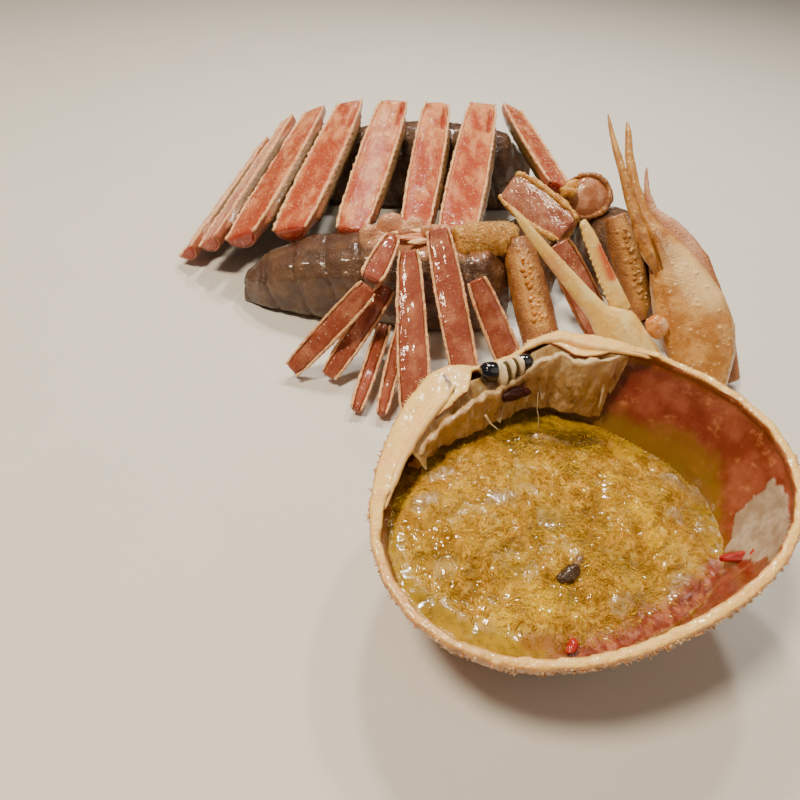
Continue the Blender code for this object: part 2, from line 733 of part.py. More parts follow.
def make_claws(model):
    """Both claws, each a palm with its fixed finger and a loose finger beside it."""
    pieces = {}
    wanted = (
        ("claw_a_palm", CLAW_A_ROOT, CLAW_A_ALONG, CLAW_A_FACE, CLAW_A_PALM, CLAW_IVORY),
        ("claw_a_finger", CLAW_A_ROOT, CLAW_A_ALONG, CLAW_A_FACE, CLAW_A_FINGER, CLAW_IVORY),
        ("claw_a_wrist", CLAW_A_ROOT, CLAW_A_ALONG, CLAW_A_FACE, CLAW_A_WRIST, SHELL_ORANGE),
        ("claw_b_palm", CLAW_B_ROOT, CLAW_B_ALONG, CLAW_B_FACE, CLAW_B_PALM, CLAW_TAN),
        ("claw_b_finger", CLAW_B_ROOT, CLAW_B_ALONG, CLAW_B_FACE, CLAW_B_FINGER, CLAW_TAN),
        ("claw_b_inner", CLAW_C_ROOT, CLAW_C_ALONG, CLAW_B_FACE, CLAW_C_STATIONS, LEG_FLESH),
    )
    for name, root, along, face, stations, finish in wanted:
        bm = claw_loft(root, along, face, stations)
        on_floor(bm)
        pieces[name] = model.add(name, bm, finish)
    fitted = (
        ("claw_a_palm", ("claw_a_finger", "claw_a_wrist")), ("claw_b_palm", ("claw_b_finger",)),
        ("claw_b_inner", ("claw_b_palm",)),
    )
    for palm, small in fitted:
        cutters = [seat(model, [pieces[name]], 0.0) for name in small]
        boolean(pieces[palm], cutters, "DIFFERENCE")
    claw_a = (CLAW_A_ROOT, CLAW_A_ALONG, CLAW_A_FACE)
    claw_b = (CLAW_B_ROOT, CLAW_B_ALONG, CLAW_B_FACE)
    grown = {
        "claw_a_finger": edge_teeth(*claw_a, CLAW_A_FINGER, 40.0, 74.5, 13, -1, 1.15, 1.5),
        "claw_a_palm": edge_teeth(*claw_a, CLAW_A_PALM, 45.0, 94.0, 12, 1, 0.8, 1.0),
        "claw_b_palm": face_tubercles(*claw_b, CLAW_B_PALM, 12.0, 58.0, 18, 1.0),
    }
    for name, roots in grown.items():
        grow_spines(model, pieces[name], roots)
    return pieces


# Arms and wrists

ARM_BACK = tuple(-TO_VIEWER)
ARM_A = Limb("arm_a", (48.5, -14, 4), (32, 32, 43), 21, 19, 10, ARM_BACK)
ARM_A_INNER = Limb("arm_a_inner", (82, -3, 5.6), (52, 26, 46), 17, 17, 9, tuple(TO_VIEWER))
ARM_B = Limb("arm_b", (108, 25, 3.6), (87, 55, 49), 18, 16, 9, ARM_BACK)
ARM_A_JOINT = Limb("arm_a_joint", (-1, 24, 44), (30, 34, 42), 17, 18, 9, (0.0, 0.35, -0.93))
WRIST_A = Limb("wrist_a", (61, 48, 44), (30, 78, 54), 20, 22, 10, (-0.62, -0.45, 0.64))
ARM_A_ROWS = ((100.0, 0.12, 0.86, 9), (128.0, 0.3, 0.84, 6))
ARM_B_ROWS = ((112.0, 0.2, 0.86, 8), (84.0, 0.35, 0.84, 5))
JOINT_ROWS = ((90.0, 0.15, 0.6, 5), (60.0, 0.2, 0.6, 4))
WRIST_B_CENTRE = Vector((77.0, 82.0, 48.0))
WRIST_B_FACE = Vector((-0.22, -0.78, 0.59))
WRIST_B_RADIUS = 14.0
WRIST_B_DEPTH = 12.0


def limb_outside(limb, share, angle):
    """A point outside on a split limb and the direction out of it. Angle 90 degrees is the crest."""
    along, side, out = frame_along(limb.near, limb.far, limb.face)
    length = (Vector(limb.far) - Vector(limb.near)).length
    girth = 1.0
    for (low, low_girth), (high, high_girth) in zip(LIMB_STATIONS, LIMB_STATIONS[1:]):
        if low <= share <= high:
            girth = mix(low_girth, high_girth, (share - low) / (high - low))
    half = girth * mix(limb.width_near, limb.width_far, share) / 2
    depth = limb.depth * mix(1.0, girth, 0.7)
    turn = math.radians(angle)
    centre = Vector(limb.near) + along * (share * length)
    point = centre + side * half * math.cos(turn) - out * depth * math.sin(turn) ** 0.85
    outward = (side * math.cos(turn) / half - out * math.sin(turn) / depth).normalized()
    return point, outward


def limb_spine_roots(limb, rows, radius):
    """Roots of rows of tubercles along a limb, from rows of (angle, first share, last share, count)."""
    roots = []
    for angle, first, last, count in rows:
        for index in range(count):
            share = mix(first, last, index / (count - 1)) + random.uniform(-0.02, 0.02)
            foot, outward = limb_outside(limb, share, angle + random.uniform(-9.0, 9.0))
            roots.append((foot - outward * 0.05, outward, vary(radius, 0.2), vary(radius * 1.1, 0.2)))
    return roots


def joint_section(width, depth):
    """A solid half oval with a slightly hollow flat side."""
    return half_oval(width, depth, 0.0) + [(-width * 0.25, -0.5), (width * 0.25, -0.5)]


def make_arms(model):
    """The arms that carried the claws: split tubes of shell with flesh in them."""
    pieces = {}
    for limb in (ARM_A, ARM_A_INNER, ARM_B, WRIST_A):
        shell = SHELL_BROWN if limb is ARM_A_INNER else SHELL_ORANGE
        pieces[limb.name] = split_limb(model, limb, shell, LEG_FLESH)
    rings = limb_rings(ARM_A_JOINT, joint_section)
    pieces["arm_a_joint"] = [model.add("arm_a_joint", loft(rings), SHELL_ORANGE)]
    return pieces


def grow_arm_tubercles(model, arms):
    """Rows of tubercles on the arms' shells, grown after their neighbours' seats are cut."""
    grow_spines(model, arms["arm_a"][0], limb_spine_roots(ARM_A, ARM_A_ROWS, 1.1))
    grow_spines(model, arms["arm_b"][0], limb_spine_roots(ARM_B, ARM_B_ROWS, 1.4), "MANIFOLD")
    grow_spines(model, arms["arm_a_joint"][0], limb_spine_roots(ARM_A_JOINT, JOINT_ROWS, 0.9))


def make_round_wrist(model):
    """A wrist cut across: a cup of shell with flesh swelling out of it."""
    along, side, out = claw_frame(WRIST_B_FACE, Vector((0, 0, 1)))
    profile = ((0.0, 0.45), (0.18, 0.75), (0.5, 0.95), (1.0, 1.0))
    root = WRIST_B_CENTRE - along * WRIST_B_DEPTH
    cup = []
    for share, girth in profile:
        size = 2 * WRIST_B_RADIUS * girth
        cup.append(oval_ring(root + along * WRIST_B_DEPTH * share, side, out, size, size * 0.92, 16))
    for share, girth in profile[::-1]:
        size = 2 * (WRIST_B_RADIUS * girth - 1.4)
        depth = max(share, 0.12)
        cup.append(oval_ring(root + along * WRIST_B_DEPTH * depth, side, out, size, size * 0.92, 16))
    flesh = []
    for share, girth in ((0.2, 0.38), (0.3, 0.6), (0.55, 0.8), (0.95, 0.84), (1.12, 0.62), (1.2, 0.3)):
        size = 2 * WRIST_B_RADIUS * girth
        flesh.append(oval_ring(root + along * WRIST_B_DEPTH * share, side, out, size, size * 0.92, 16))
    return [
        model.add("wrist_b_shell", loft(cup), SHELL_ORANGE),
        model.add("wrist_b_flesh", loft(flesh), LEG_FLESH),
    ]


# Body halves and limb bases: lumps on the floor that carry the rest

@dataclass(frozen=True)
class Lump:
    """A rounded block along a line on the floor: stations of (share, half width, height)."""

    name: str
    start: tuple
    end: tuple
    stations: tuple
    crest: tuple = ()


BODY_NEAR = Lump(
    "body_near", (-116, 34), (31, 26),
    (
        (0.0, 8, 14), (0.08, 15, 24), (0.25, 22, 36), (0.5, 26, 45), (0.72, 28, 48), (0.9, 24, 45),
        (1.0, 13, 30),
    ),
    ((-34, 34, 47, 8), (-22, 32, 47.5, 6.5), (-27, 24, 49, 4.6), (-16, 25, 50, 4.2), (-7, 24, 50.5, 4.4),
     (-46, 27, 45, 5.5)),
)
BODY_FAR = Lump(
    "body_far", (-130, 166), (58, 172),
    (
        (0.0, 8, 16), (0.08, 14, 28), (0.22, 18, 42), (0.45, 20, 53), (0.7, 20, 55), (0.9, 17, 49),
        (1.0, 10, 30),
    ),
)
ARM_A_BASE = Lump(
    "arm_a_base", (42, 96), (50, 36),
    ((0.0, 7, 16), (0.15, 12, 30), (0.5, 14, 42), (0.85, 12, 38), (1.0, 7, 20)),
)
ARM_B_BASE = Lump(
    "arm_b_base", (78, 122), (122, 12),
    ((0.0, 8, 18), (0.12, 14, 32), (0.4, 17, 42), (0.75, 15, 41), (0.93, 12, 34), (1.0, 6, 20)),
)


def lump_mesh(lump_shape):
    """A rounded block, flat where it stands on the floor."""
    start = Vector((*lump_shape.start, 0.0))
    end = Vector((*lump_shape.end, 0.0))
    along = (end - start).normalized()
    side = along.cross(Vector((0, 0, 1))).normalized()
    rings = []
    for share, half, height in lump_shape.stations:
        centre = start.lerp(end, share) + Vector((0, 0, height * 0.42))
        rings.append(oval_ring(centre, side, Vector((0, 0, 1)), 2 * half, height * 1.16, 14, 0.8))
    bm = loft(rings)
    on_floor(bm)
    return bm


def make_lump(model, lump_shape, finish, carried):
    """A block with any crest on it, and seats cut for the pieces that it carries."""
    obj = model.add(lump_shape.name, lump_mesh(lump_shape), finish)
    crest = []
    for index, (x, y, z, radius) in enumerate(lump_shape.crest):
        bm = ball((x, y, z), (radius, radius * 0.8, radius), 8, 5)
        crest.append(model.add_cutter(f"crest_{index}", bm))
    if crest:
        boolean(obj, crest, "UNION")
    for pieces in carried:
        boolean(obj, [seat(model, pieces)], "DIFFERENCE")
    return obj


def build():
    """Make every piece."""
    clear_scene()
    random.seed(SEED)
    model = Model()
    make_shell(model)
    make_filling(model)
    make_mouth_frame(model, make_eyes(model))
    claws = make_claws(model)
    arms = make_arms(model)
    wrist_b = make_round_wrist(model)
    meri = [split_limb(model, limb, SHELL_BROWN, LEG_FLESH) for limb in MERI]
    shins = [split_limb(model, limb, SHELL_CREAM, LEG_FLESH) for limb in SHINS]
    carpus = split_limb(model, CARPUS, SHELL_CREAM, LEG_FLESH)
    for piece in arms["arm_a_inner"]:
        boolean(piece, [seat(model, [claws["claw_a_palm"]], 0.0)], "DIFFERENCE")
    joint = arms["arm_a_joint"]
    boolean(joint[0], [seat(model, arms["arm_a"], 0.0)], "DIFFERENCE")
    on_body = meri[:7] + shins[:7] + [carpus, joint, arms["arm_a"]]
    body_near = make_lump(model, BODY_NEAR, BODY_PINK, on_body)
    make_lump(model, BODY_FAR, BODY_PINK, meri)
    arm_a_base = make_lump(
        model, ARM_A_BASE, SHELL_ORANGE,
        [meri[0], meri[7], wrist_b, arms["wrist_a"], arms["arm_a"], arms["arm_a_inner"], joint,
         [body_near]],
    )
    make_lump(
        model, ARM_B_BASE, SHELL_ORANGE,
        [meri[7], wrist_b, arms["wrist_a"], arms["arm_b"], arms["arm_a_inner"], [claws["claw_b_inner"]],
         [claws["claw_b_palm"]], [arm_a_base]],
    )
    grow_arm_tubercles(model, arms)


build()
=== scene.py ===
"""Dresses the snow crab display model: fine skins, wet flesh, granular shell, a pale floor and soft light.

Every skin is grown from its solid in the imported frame. Lengths are in millimetres until a mesh is written.
"""

from __future__ import annotations

import json
import logging
import math
from dataclasses import dataclass
from enum import Enum
from typing import Protocol

import bmesh
import bpy
import numpy as np
from mathutils import Euler, Matrix, Vector

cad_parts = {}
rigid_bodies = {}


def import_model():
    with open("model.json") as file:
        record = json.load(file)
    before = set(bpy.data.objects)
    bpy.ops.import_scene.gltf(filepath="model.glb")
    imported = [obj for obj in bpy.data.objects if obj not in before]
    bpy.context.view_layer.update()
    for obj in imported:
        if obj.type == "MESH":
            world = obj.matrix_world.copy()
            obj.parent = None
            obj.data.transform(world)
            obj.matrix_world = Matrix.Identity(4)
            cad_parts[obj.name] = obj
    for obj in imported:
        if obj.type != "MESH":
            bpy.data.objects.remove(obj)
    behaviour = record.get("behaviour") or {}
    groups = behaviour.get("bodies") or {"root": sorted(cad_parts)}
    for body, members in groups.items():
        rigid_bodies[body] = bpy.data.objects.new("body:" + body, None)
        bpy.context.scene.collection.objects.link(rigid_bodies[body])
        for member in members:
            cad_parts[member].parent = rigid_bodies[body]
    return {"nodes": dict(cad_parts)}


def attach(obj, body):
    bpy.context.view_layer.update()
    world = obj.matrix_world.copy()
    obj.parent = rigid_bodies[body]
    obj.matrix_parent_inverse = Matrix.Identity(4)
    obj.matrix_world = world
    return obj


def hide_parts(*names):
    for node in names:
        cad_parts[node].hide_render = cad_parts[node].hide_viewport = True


LOG = logging.getLogger("snow_crab")
MM = 0.001
SEED = 7
ROOT = "root"

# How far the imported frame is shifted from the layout, and the bowl's middle in the layout
LAYOUT_SHIFT = np.array([8.15, -1.65, 0.0])
BOWL_MIDDLE = np.array([35.3, -139.5, 0.0])

# Numbers that stir a cell's value well
AXIS_PRIMES = (73856093, 19349663, 83492791)
SEED_PRIME = 2654435761
STIR = 0x45D9F3B
LOW_32 = 0xFFFFFFFF
LOW_24 = 0xFFFFFF

Array = np.ndarray
Colour = tuple[float, float, float]
Triple = tuple[float, float, float]
Table = tuple[tuple[float, float], ...]
Streak = tuple[Triple, Triple, float]
Faces = list[tuple[int, ...]]
Material = bpy.types.Material
Socket = bpy.types.NodeSocket


class Slot(Enum):
    """The record's finishes for added pieces; no piece here is given one."""

    SHELL_CREAM = "shell_cream"
    SHELL_ORANGE = "shell_orange"
    FLESH = "flesh"
    BODY = "body"
    CONTENTS = "contents"
    MEMBRANE = "membrane"


# Fields over points


def cell_values(cells: Array, seed: int) -> Array:
    """A repeatable value for each whole-numbered cell.

    Args:
        cells: Cell numbers, one row of three per point.
        seed: Which of the patterns to give.

    Returns:
        Values from 0 to 1.
    """
    mixed = seed * SEED_PRIME
    for axis, prime in enumerate(AXIS_PRIMES):
        mixed = mixed ^ (cells[:, axis] * prime)
    mixed = mixed & LOW_32
    for _ in range(2):
        mixed = ((mixed ^ (mixed >> 16)) * STIR) & LOW_32
    mixed = mixed ^ (mixed >> 16)
    return (mixed & LOW_24) / float(LOW_24)


def waves(points: Array, size: float, seed: int) -> Array:
    """Smooth noise over points.

    Args:
        points: Points, one row each.
        size: How far apart its hills are.
        seed: Which of the patterns to give.

    Returns:
        Values from -1 to 1.
    """
    scaled = points / size
    cell = np.floor(scaled).astype(np.int64)
    part = scaled - cell
    ease = part * part * (3.0 - 2.0 * part)
    total = np.zeros(len(points))
    for corner in np.ndindex(2, 2, 2):
        offset = np.array(corner)
        share = np.prod(np.where(offset == 1, ease, 1.0 - ease), axis=1)
        total += share * cell_values(cell + offset, seed)
    return total * 2.0 - 1.0


def layered(points: Array, size: float, seed: int, layers: int = 3) -> Array:
    """Smooth noise with finer noise on it.

    Args:
        points: Points, one row each.
        size: How far apart the coarsest hills are.
        seed: Which of the patterns to give.
        layers: How many sizes are laid on each other, each half the last.

    Returns:
        Values from about -1 to 1.
    """
    total = np.zeros(len(points))
    strength = 0.55
    for layer in range(layers):
        total += strength * waves(points, size / 2**layer, seed + 31 * layer)
        strength *= 0.6
    return total


def grains(points: Array, size: float, seed: int, share: float = 1.0, reach: float = 0.5) -> Array:
    """Round grains strewn over points, at most one to a cell.

    Args:
        points: Points, one row each.
        size: The side of a cell.
        seed: Which of the patterns to give.
        share: How many of the cells hold a grain.
        reach: A grain's radius as a share of its cell.

    Returns:
        The height of the grain at each point, from 0 to 1.
    """
    scaled = points / size
    home = np.floor(scaled).astype(np.int64)
    best = np.zeros(len(points))
    for step in np.ndindex(3, 3, 3):
        cell = home + (np.array(step) - 1)
        centre = cell + 0.2 + 0.6 * np.stack([cell_values(cell, seed + axis) for axis in range(3)], axis=1)
        gap = np.linalg.norm(scaled - centre, axis=1)
        radius = reach * (0.6 + 0.4 * cell_values(cell, seed + 5))
        height = np.clip(1.0 - (gap / radius) ** 2, 0.0, 1.0)
        height[cell_values(cell, seed + 9) > share] = 0.0
        best = np.maximum(best, height)
    return best


def ease_between(value: Array, low: float, high: float) -> Array:
    """A smooth step: 0 up to low and 1 from high on."""
    share = np.clip((value - low) / (high - low), 0.0, 1.0)
    return share * share * (3.0 - 2.0 * share)


def near(points: Array, start: Triple, radius: float, end: Triple | None = None) -> Array:
    """1 at a place or on a line, falling softly to 0 at a radius.

    Args:
        points: Points, one row each.
        start: The place, or one end of the line.
        radius: How far it reaches.
        end: The other end of the line.

    Returns:
        Values from 0 to 1.
    """
    first = np.array(start, dtype=float)
    offset = points - first
    if end is not None:
        way = np.array(end, dtype=float) - first
        share = np.clip(offset @ way / way.dot(way), 0.0, 1.0)
        offset = offset - share[:, None] * way
    return 1.0 - ease_between(np.linalg.norm(offset, axis=1) / radius, 0.15, 1.0)


def strongest(*values: Array) -> Array:
    """The greatest of several values at each point."""
    return np.maximum.reduce(values)


def within(across: Array, up: Array, outline: Table) -> Array:
    """Say which points lie in an outline.

    Args:
        across: The points' first coordinate.
        up: Their second.
        outline: The outline's corners in order.

    Returns:
        1 inside and 0 outside.
    """
    inside = np.zeros(len(across), dtype=bool)
    for first, second in zip(outline, outline[1:] + outline[:1]):
        spans = (first[1] > up) != (second[1] > up)
        rise = second[1] - first[1]
        meet = first[0] + (up - first[1]) * (second[0] - first[0]) / (rise if rise else 1e-9)
        inside ^= spans & (across < meet)
    return inside.astype(float)


# Skins grown from the solids


class Skin:
    """A fine closed mesh grown from one solid, with its points as an array in millimetres."""

    def __init__(self, node: str, voxel: float, smoothing: int) -> None:
        """Remesh a solid evenly.

        Args:
            node: The solid's name in the frame.
            voxel: The side of a cell of the even mesh.
            smoothing: How many rounds of smoothing follow.
        """
        self.node = node
        source = FRAME_NODES[node]
        obj = bpy.data.objects.new(node + "_skin", source.data.copy())
        bpy.context.scene.collection.objects.link(obj)
        even = obj.modifiers.new("even", "REMESH")
        even.mode = "VOXEL"
        even.voxel_size = voxel * MM
        even.use_smooth_shade = True
        soft = obj.modifiers.new("soft", "SMOOTH")
        soft.factor = 0.5
        soft.iterations = smoothing
        graph = bpy.context.evaluated_depsgraph_get()
        mesh = bpy.data.meshes.new_from_object(obj.evaluated_get(graph))
        obj.modifiers.clear()
        old = obj.data
        obj.data = mesh
        bpy.data.meshes.remove(old)
        self.obj = obj
        self.points = np.empty(len(mesh.vertices) * 3)
        mesh.vertices.foreach_get("co", self.points)
        self.points = self.points.reshape(-1, 3) / MM

    @property
    def laid(self) -> Array:
        """The points in the layout's own frame."""
        return self.points - LAYOUT_SHIFT

    def normals(self) -> Array:
        """Find the way out of the surface.

        Returns:
            A direction for each point.
        """
        mesh = self.obj.data
        mesh.vertices.foreach_set("co", (self.points * MM).ravel())
        mesh.update()
        directions = np.empty(len(mesh.vertices) * 3)
        mesh.vertex_normals.foreach_get("vector", directions)
        return directions.reshape(-1, 3)

    def push(self, amount: Array | float, normals: Array | None = None) -> None:
        """Move the points outwards.

        Args:
            amount: How far in millimetres, for each point or for all.
            normals: The directions, found anew where none are given.
        """
        directions = self.normals() if normals is None else normals
        self.points += directions * np.reshape(amount, (-1, 1))

    def paint(self, **values: Array | float) -> None:
        """Keep values that a finish can read.

        Args:
            values: A value for each point, or one for all, under each name.
        """
        for name, value in values.items():
            layer = self.obj.data.attributes.new(name, "FLOAT", "POINT")
            full = np.zeros(len(self.points)) + value
            layer.data.foreach_set("value", full.astype(np.float32))

    def finish(self, material: Material) -> None:
        """Write the points and let the skin stand for its solid.

        Args:
            material: Its finish.
        """
        mesh = self.obj.data
        self.points[:, 2] = np.maximum(self.points[:, 2], 0.0)
        mesh.vertices.foreach_set("co", (self.points * MM).ravel())
        mesh.polygons.foreach_set("use_smooth", np.ones(len(mesh.polygons), dtype=bool))
        mesh.materials.clear()
        mesh.materials.append(material)
        mesh.update()
        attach(self.obj, ROOT)
        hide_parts(self.node)


def added_piece(
    name: str, points: Array, faces: Faces, tones: Array, material: Material
) -> bpy.types.Object:
    """Add a piece that no solid stands for.

    Args:
        name: The piece's name.
        points: Its points in millimetres in the model's frame.
        faces: Its faces.
        tones: A value from 0 to 1 for each point, which its finish reads as "tone".
        material: Its finish.

    Returns:
        The piece.
    """
    mesh = bpy.data.meshes.new(name)
    mesh.from_pydata((points * MM).tolist(), [], faces)
    mesh.polygons.foreach_set("use_smooth", np.ones(len(mesh.polygons), dtype=bool))
    layer = mesh.attributes.new("tone", "FLOAT", "POINT")
    layer.data.foreach_set("value", tones.astype(np.float32))
    mesh.materials.append(material)
    obj = bpy.data.objects.new(name, mesh)
    bpy.context.scene.collection.objects.link(obj)
    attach(obj, ROOT)
    return obj


def add_strands(
    name: str, paths: Array, radii: Array, tones: Array, material: Material, sides: int = 3
) -> None:
    """Add thin closed strands, each of which ends in a tip.

    Args:
        name: The piece's name.
        paths: The middle of each strand from root to tip, as count by steps by three.
        radii: A strand's radius at each step but the last, as count by steps less one.
        tones: A value from 0 to 1 for each strand.
        material: Their finish.
        sides: How many sides a strand has.
    """
    count, steps, _ = paths.shape
    ways = np.gradient(paths, axis=1)
    ways /= np.maximum(np.linalg.norm(ways, axis=2, keepdims=True), 1e-9)
    steep = np.abs(ways[..., 2:3]) > 0.9
    side = np.cross(ways, np.where(steep, (1.0, 0.0, 0.0), (0.0, 0.0, 1.0)))
    side /= np.linalg.norm(side, axis=2, keepdims=True)
    up = np.cross(ways, side)
    angles = np.arange(sides) * 2.0 * math.pi / sides
    turn = np.cos(angles)[None, None, :, None] * side[:, :-1, None, :]
    turn = turn + np.sin(angles)[None, None, :, None] * up[:, :-1, None, :]
    rings = paths[:, :-1, None, :] + turn * radii[:, :, None, None]
    block = np.concatenate([rings.reshape(count, -1, 3), paths[:, -1:, :]], axis=1)
    pattern: Faces = [tuple(reversed(range(sides)))]
    for step in range(steps - 2):
        for index in range(sides):
            first = step * sides + index
            second = step * sides + (index + 1) % sides
            pattern.append((first, second, second + sides, first + sides))
    last = (steps - 2) * sides
    tip = (steps - 1) * sides
    pattern += [(last + index, last + (index + 1) % sides, tip) for index in range(sides)]
    faces = repeated(pattern, count, tip + 1)
    added_piece(name, block.reshape(-1, 3), faces, np.repeat(tones, tip + 1), material)


def repeated(pattern: Faces, count: int, step: int) -> Faces:
    """The same faces over and over, each time with corner numbers higher by step."""
    return [tuple(index * step + corner for corner in face) for index in range(count) for face in pattern]


def ball(fineness: int) -> tuple[Array, Faces]:
    """Make a ball of radius 1.

    Args:
        fineness: How many times its faces are split.

    Returns:
        Its points and its faces.
    """
    bm = bmesh.new()
    bmesh.ops.create_icosphere(bm, subdivisions=fineness, radius=1.0)
    points = np.array([vert.co[:] for vert in bm.verts])
    faces = [tuple(vert.index for vert in face.verts) for face in bm.faces]
    bm.free()
    return points, faces


def add_beads(name: str, places: Array, sizes: Array, material: Material) -> None:
    """Add small round beads.

    Args:
        name: The piece's name.
        places: Their middles in the model's frame.
        sizes: Their radii.
        material: Their finish.
    """
    shape, pattern = ball(1)
    points = (places[:, None, :] + shape[None] * sizes[:, None, None]).reshape(-1, 3)
    tones = np.repeat(np.linspace(0, 1, len(places)), len(shape))
    added_piece(name, points, repeated(pattern, len(places), len(shape)), tones, material)


@dataclass(frozen=True)
class Lump:
    """One soft lump: its place in the layout, half sizes, turn in degrees and tone."""

    place: Triple
    size: Triple
    turn: float
    tone: float


def add_lumps(name: str, lumps: tuple[Lump, ...], material: Material, rough: float) -> None:
    """Add soft lumps as one piece.

    Args:
        name: The piece's name.
        lumps: The lumps.
        material: Their finish.
        rough: How uneven they are, as a share of their size.
    """
    shape, pattern = ball(4)
    blocks = []
    for index, lump in enumerate(lumps):
        angle = math.radians(lump.turn)
        spread = shape * (1.0 + rough * layered(shape + 9.0 * index, 1.1, 211 + index))[:, None]
        sized = spread * np.array(lump.size)
        turned = sized.copy()
        turned[:, 0] = sized[:, 0] * math.cos(angle) - sized[:, 1] * math.sin(angle)
        turned[:, 1] = sized[:, 0] * math.sin(angle) + sized[:, 1] * math.cos(angle)
        blocks.append(turned + np.array(lump.place) + LAYOUT_SHIFT)
    tones = np.repeat([lump.tone for lump in lumps], len(shape))
    added_piece(name, np.concatenate(blocks), repeated(pattern, len(lumps), len(shape)), tones, material)


# Finishes


class Tree:
    """Short calls for one material's nodes."""

    def __init__(self, name: str) -> None:
        """Start a Principled material.

        Args:
            name: The material's name.
        """
        self.material = bpy.data.materials.new(name)
        self.material.use_nodes = True
        self.nodes = self.material.node_tree.nodes
        self.links = self.material.node_tree.links
        self.shader = self.nodes["Principled BSDF"]
        self.place = self.nodes.new("ShaderNodeTexCoord").outputs["Object"]

    def join(self, socket: Socket, value: object) -> None:
        """Set a socket to a value, or link it to another socket.

        Args:
            socket: The socket.
            value: A number, a colour, three numbers or another socket.
        """
        if isinstance(value, Socket):
            self.links.new(value, socket)
        else:
            socket.default_value = (*value, 1.0) if socket.type == "RGBA" else value

    def node(self, kind: str, output: int | str, values: dict[int | str, object], **settings: str) -> Socket:
        """Add a node.

        Args:
            kind: The node's type, without its first words.
            output: Which of its outputs to give.
            values: A value or a socket for each of these inputs.
            settings: The node's own settings.

        Returns:
            The output.
        """
        node = self.nodes.new("ShaderNode" + kind)
        for name, setting in settings.items():
            setattr(node, name, setting)
        for key, value in values.items():
            self.join(node.inputs[key], value)
        return node.outputs[output]

    def attribute(self, name: str) -> Socket:
        """The value that a skin keeps under this name."""
        return self.node("Attribute", "Fac", {}, attribute_name=name)

    def stretched(self, scale: Triple) -> Socket:
        """The place on the object, scaled apart along each axis."""
        return self.node("Mapping", "Vector", {"Vector": self.place, "Scale": scale})

    def noise(self, size: float, detail: float = 3.0, rough: float = 0.55, place: Socket | None = None) -> Socket:
        """Noise with hills about this many millimetres apart."""
        values = {"Vector": place or self.place, "Scale": 1.0 / (size * MM), "Detail": detail, "Roughness": rough}
        return self.node("TexNoise", "Fac", values)

    def cells(self, size: float) -> Socket:
        """The distance to the nearest of points strewn about this far apart."""
        return self.node("TexVoronoi", "Distance", {"Vector": self.place, "Scale": 1.0 / (size * MM)})

    def math(self, operation: str, first: object, second: object, third: object = 0.0) -> Socket:
        """One sum of values or sockets."""
        return self.node("Math", 0, {0: first, 1: second, 2: third}, operation=operation)

    def between(self, value: object, low: float, high: float) -> Socket:
        """0 up to low and 1 from high on, with a smooth step."""
        values = {"Value": value, "From Min": low, "From Max": high}
        return self.node("MapRange", "Result", values, interpolation_type="SMOOTHSTEP")

    def blotches(self, size: float, low: float, high: float, detail: float = 4.0, rough: float = 0.6) -> Socket:
        """Noise with hills this far apart, cut to 0 up to low and 1 from high on."""
        return self.between(self.noise(size, detail, rough), low, high)

    def times(self, first: object, second: object) -> Socket:
        """The product of two values or sockets."""
        return self.math("MULTIPLY", first, second)

    def mix(self, share: object, first: object, second: object) -> Socket:
        """A colour between two."""
        return self.node("Mix", 2, {"Factor": share, 6: first, 7: second}, data_type="RGBA")

    def over(self, colour: object, name: str, layer: object, share: float = 1.0) -> Socket:
        """A colour with another over it where the skin's value of this name says."""
        return self.mix(self.times(self.attribute(name), share), colour, layer)

    def bump(self, height: object, depth: float) -> Socket:
        """A surface direction from a height, which is depth millimetres from 0 to 1."""
        return self.node("Bump", "Normal", {"Strength": 1.0, "Distance": depth * MM, "Height": height})

    def surface(self, colour: object, roughness: object, normal: Socket, **values: object) -> None:
        """Set the shader's sockets.

        Args:
            colour: The colour.
            roughness: The roughness.
            normal: The direction of the surface.
            values: Other sockets by name, with underscores for spaces.
        """
        values |= {"Base Color": colour, "Roughness": roughness, "Normal": normal}
        for name, value in values.items():
            self.join(self.shader.inputs[name.replace("_", " ")], value)


@dataclass(frozen=True)
class Finish:
    """A named finish, whose kind says how its nodes are laid."""

    name: str

    def lay(self, tree: Tree) -> None:
        """Lay the nodes, as each kind does in its own way."""
        raise NotImplementedError

    def build(self) -> Material:
        """Make the material.

        Returns:
            The material.
        """
        tree = Tree(self.name)
        self.lay(tree)
        return tree.material


